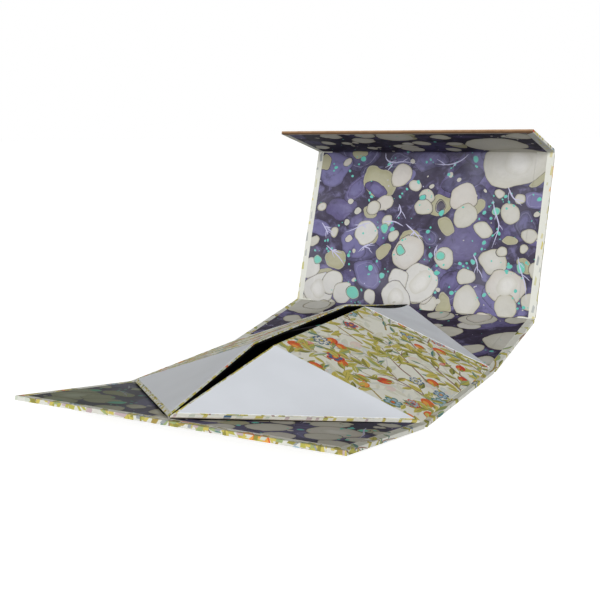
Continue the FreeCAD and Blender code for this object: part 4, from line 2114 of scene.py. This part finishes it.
    def dark_edge(self) -> InkShape:
        """The dark paper of the box's inside, which is lapped up over the free edges.

        Returns:
            The ink.
        """
        wide = self.half_depth + self.height + self.rim
        low = self.height + self.shown
        high = low + self.wrap + self.under
        return InkShape([(-wide, low), (wide, low), (wide, high), (-wide, high)], self.dark)


# ---- The studio --------------------


@dataclass(frozen=True)
class Studio:
    """A white floor, a white world, two broad soft lamps and the camera."""

    target: Place = (-37.67, 51.20, 40.0)
    distance: float = 669.26
    azimuth: float = 28.519
    elevation: float = 10.826
    roll: float = -0.883
    lens: float = 57.05
    film_width: float = 36.0
    clip: Point = (0.01, 20.0)
    ambient: float = 0.2
    ambient_colour: Colour = (1.04, 1.0, 0.86)
    lamp_from: Place = (0.493, -0.831, 0.26)
    lamp_level: float = 0.93
    lamp_colour: Colour = (0.985, 1.0, 1.03)
    lamp_spread: float = 32.0
    fill_from: Place = (-0.25, 0.93, 0.2)
    fill_level: float = 0.4
    floor_half: float = 6.0
    floor_level: float = -0.0002
    floor_colour: Colour = (0.62, 0.62, 0.62)
    floor_glow: float = 0.82

    def camera(self) -> None:
        """Sets the camera up."""
        azimuth, elevation, roll = map(radians, (self.azimuth, self.elevation, self.roll))
        data = bpy.data.cameras.new("camera")
        data.lens, data.sensor_width = self.lens, self.film_width
        data.clip_start, data.clip_end = self.clip
        camera = linked("camera", data)
        turn = Matrix.Rotation(azimuth, 4, "Z") @ Matrix.Rotation(pi / 2 - elevation, 4, "X")
        turn = turn @ Matrix.Rotation(roll, 4, "Z")
        # A camera looks back along its own Z axis
        place = (Vector(self.target) + turn.col[2].xyz * self.distance) * MM
        camera.matrix_world = Matrix.Translation(place) @ turn
        bpy.context.scene.camera = camera

    @staticmethod
    def seen(graph: NodeGraph) -> Wire:
        """Tells the rays that see the background from those that light things.

        Args:
            graph: The graph that needs to know.

        Returns:
            One for the first, and zero for the second.
        """
        camera = graph.node("ShaderNodeLightPath", {}, {}, "Is Camera Ray")
        glossy, through = camera.beside("Is Glossy Ray"), camera.beside("Is Transmission Ray")
        return camera.maths("MAXIMUM", camera.maths("MAXIMUM", camera, glossy), through)

    def lights(self) -> None:
        """Sets up the world and the lamps."""
        world = bpy.data.worlds.new("world")
        world.use_nodes = True
        graph = NodeGraph(world.node_tree)
        seen = self.seen(graph)
        strength = seen + (1 - seen) * self.ambient
        background = world.node_tree.nodes["Background"]
        graph.feed(background.inputs["Color"], graph.mix(seen, self.ambient_colour, (1.0, 1.0, 1.0)))
        graph.feed(background.inputs["Strength"], strength)
        bpy.context.scene.world = world
        self.lamp("soft_lamp", self.lamp_from, self.lamp_level)
        self.lamp("back_fill", self.fill_from, self.fill_level)

    def lamp(self, name: str, place: Place, level: float) -> None:
        """Sets up one broad lamp.

        Args:
            name: Its name.
            place: The direction that its light comes from.
            level: Its level.
        """
        lamp = bpy.data.lights.new(name, "SUN")
        lamp.energy = level * pi
        lamp.color = self.lamp_colour
        lamp.angle = radians(self.lamp_spread)
        holder = linked(name, lamp)
        holder.matrix_world = Vector(place).to_track_quat("Z", "Y").to_matrix().to_4x4()

    def floor(self) -> None:
        """Lays the floor."""
        graph = ShaderGraph("studio_floor")
        glow = self.seen(graph) * self.floor_glow
        finish = graph.finish(
            Base_Color=(*self.floor_colour, 1.0),
            Roughness=0.9,
            Specular_IOR_Level=0.0,
            Emission_Color=graph.grey(glow),
            Emission_Strength=1.0,
        )
        half, low = self.floor_half, self.floor_level
        mesh = bpy.data.meshes.new("studio_floor")
        corners = [(-half, -half, low), (half, -half, low), (half, half, low), (-half, half, low)]
        mesh.from_pydata(corners, [], [(0, 1, 2, 3)])
        mesh.materials.append(finish)
        floor = linked("studio_floor", mesh)

    def build(self) -> None:
        """Sets up the whole studio."""
        self.camera()
        self.lights()
        self.floor()
        bpy.context.scene.view_settings.view_transform = "Standard"


# ---- The box --------------------


@dataclass
class GiftBox:
    """The whole box: its papers, and the finishes of its boards and magnets."""

    strip: CaseStrip = field(default_factory=CaseStrip)
    blend_reach: float = 1.2

    @staticmethod
    def hinge(name: str) -> Vector:
        """The place of the joint with this name, in metres."""
        return next(Vector(joint["pos_m"]) for joint in frame["joints"] if joint["name"] == name)

    def bend(self, lower: Piece, upper: Piece) -> None:
        """Bakes the transforms of the two parts of a paper into their meshes, and logs their face counts.

        Args:
            lower: The part on the case and the lid.
            upper: The part on the lid and the flap.
        """
        for piece, joint, parent, child, fold in (
            (lower, "lid_hinge", "case", "lid", 2),
            (upper, "flap_hinge", "lid", "flap", 3),
        ):
            angle = (self.strip.angles[fold] + self.strip.angles[fold + 1]) / 2
            ahead = Vector((0.0, cos(angle), sin(angle))) * self.blend_reach * MM
            middle = self.hinge(joint)
            middle - ahead
            middle + ahead
            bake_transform(piece)
            log.info("%s: %d faces", piece.name, len(piece.data.polygons))

    def line(self, finish: Finish) -> None:
        """Lays the marbled lining.

        Args:
            finish: Its finish.
        """
        lower, upper = CaseLining(self.strip).build(MarbledLiningPaper().print(), finish)
        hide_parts("case_lining", "lid_lining")
        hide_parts("flap_lining")
        self.bend(lower, upper)

    def cover(self, tree: LeafyBranches, finish: Finish) -> None:
        """Wraps the case in its cover.

        Args:
            tree: The tree that sets the print's motifs.
            finish: The cover's finish.
        """
        cover = CaseCover(self.strip)
        corners = ((-cover.reach, -cover.margin), (cover.reach, self.strip.length + cover.margin))
        wider = {"spacing": 22.0, "run": 55.0, "clear": (12.5, 7.5, 6.0), "leaf_spacing": 5.6}
        sheet = BotanicalPrint(*corners, pi / 2, 3, **wider)
        lower, upper = cover.build(sheet.print(tree), finish)
        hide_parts("case_cover", "lid_cover")
        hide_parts("flap_cover")
        self.bend(lower, upper)

    def collar(self, tree: LeafyBranches, finish: Finish) -> None:
        """Covers the collar's walls and gussets.

        Args:
            tree: The tree that sets the print's motifs.
            finish: The cover's finish.
        """
        for side, name, seed in ((-1, "left", 21), (1, "right", 34)):
            paper = CollarCover(side)
            wide, spare = paper.half_depth + paper.height + 3, 16.0
            heading = pi / 2 - side * 0.45
            corners = ((-wide, -spare), (wide, paper.height + spare))
            turn = heading - side * 0.5
            faint = BotanicalPrint(*corners, turn, seed + 1, 34.0, longest=60.0, faint=0.22, fillers=0)
            sheet = BotanicalPrint(*corners, heading, seed)
            ink = faint.print(tree) + sheet.print(tree)
            piece = paper.build(f"collar_print_{name}", ink, finish)
            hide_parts(f"collar_cover_{name}")
            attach(piece, "case")
            log.info("%s: %d faces", piece.name, len(piece.data.polygons))

    def dress(self) -> None:
        """Gives their finishes to the CAD nodes that are seen."""
        black = PlainPaper("black_liner", CollarCover.dark, 0.2, 0.2, 0.8, 0.08).material()
        facing = PlainPaper("plain_facing", tint(239, 243, 251), 0.05, 0.35, 0.6, 0.06).material()
        lap = CollarCover(1).bowed_lap("black_lap_back_right", black)
        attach(lap, "case")
        magnet, board = MagnetMetal().material(), Greyboard().material()
        # Each node takes the finish of the first of these words that its name holds
        finishes = {"facing": facing, "magnet": magnet, "board": board, "": black}
        for name, node in frame["nodes"].items():
            if node.hide_render:
                continue
            finish = next(finish for word, finish in finishes.items() if word in name)
            materials = node.data.materials
            if not materials:
                materials.append(finish)
            for index in range(len(materials)):
                materials[index] = finish
            log.info("%s: %s", name, finish.name)

    def build(self) -> None:
        """Builds the whole box."""
        motifs = Motifs()
        tree = LeafyBranches(motifs.leaves, motifs.heads)
        printed = PrintedPaper().material()
        self.line(MarbledPaper().material())
        self.cover(tree, printed)
        self.collar(tree, printed)
        self.dress()
        bpy.data.node_groups.remove(tree.tree)
        for motif in motifs.made:
            bpy.data.objects.remove(motif)
        for group in (motifs.leaves, motifs.heads):
            bpy.data.collections.remove(group)


def main() -> None:
    """Builds the box and its studio."""
    logging.basicConfig(level=logging.INFO, format="%(name)s: %(message)s")
    GiftBox().build()
    Studio().build()


if __name__ == "__main__":
    main()
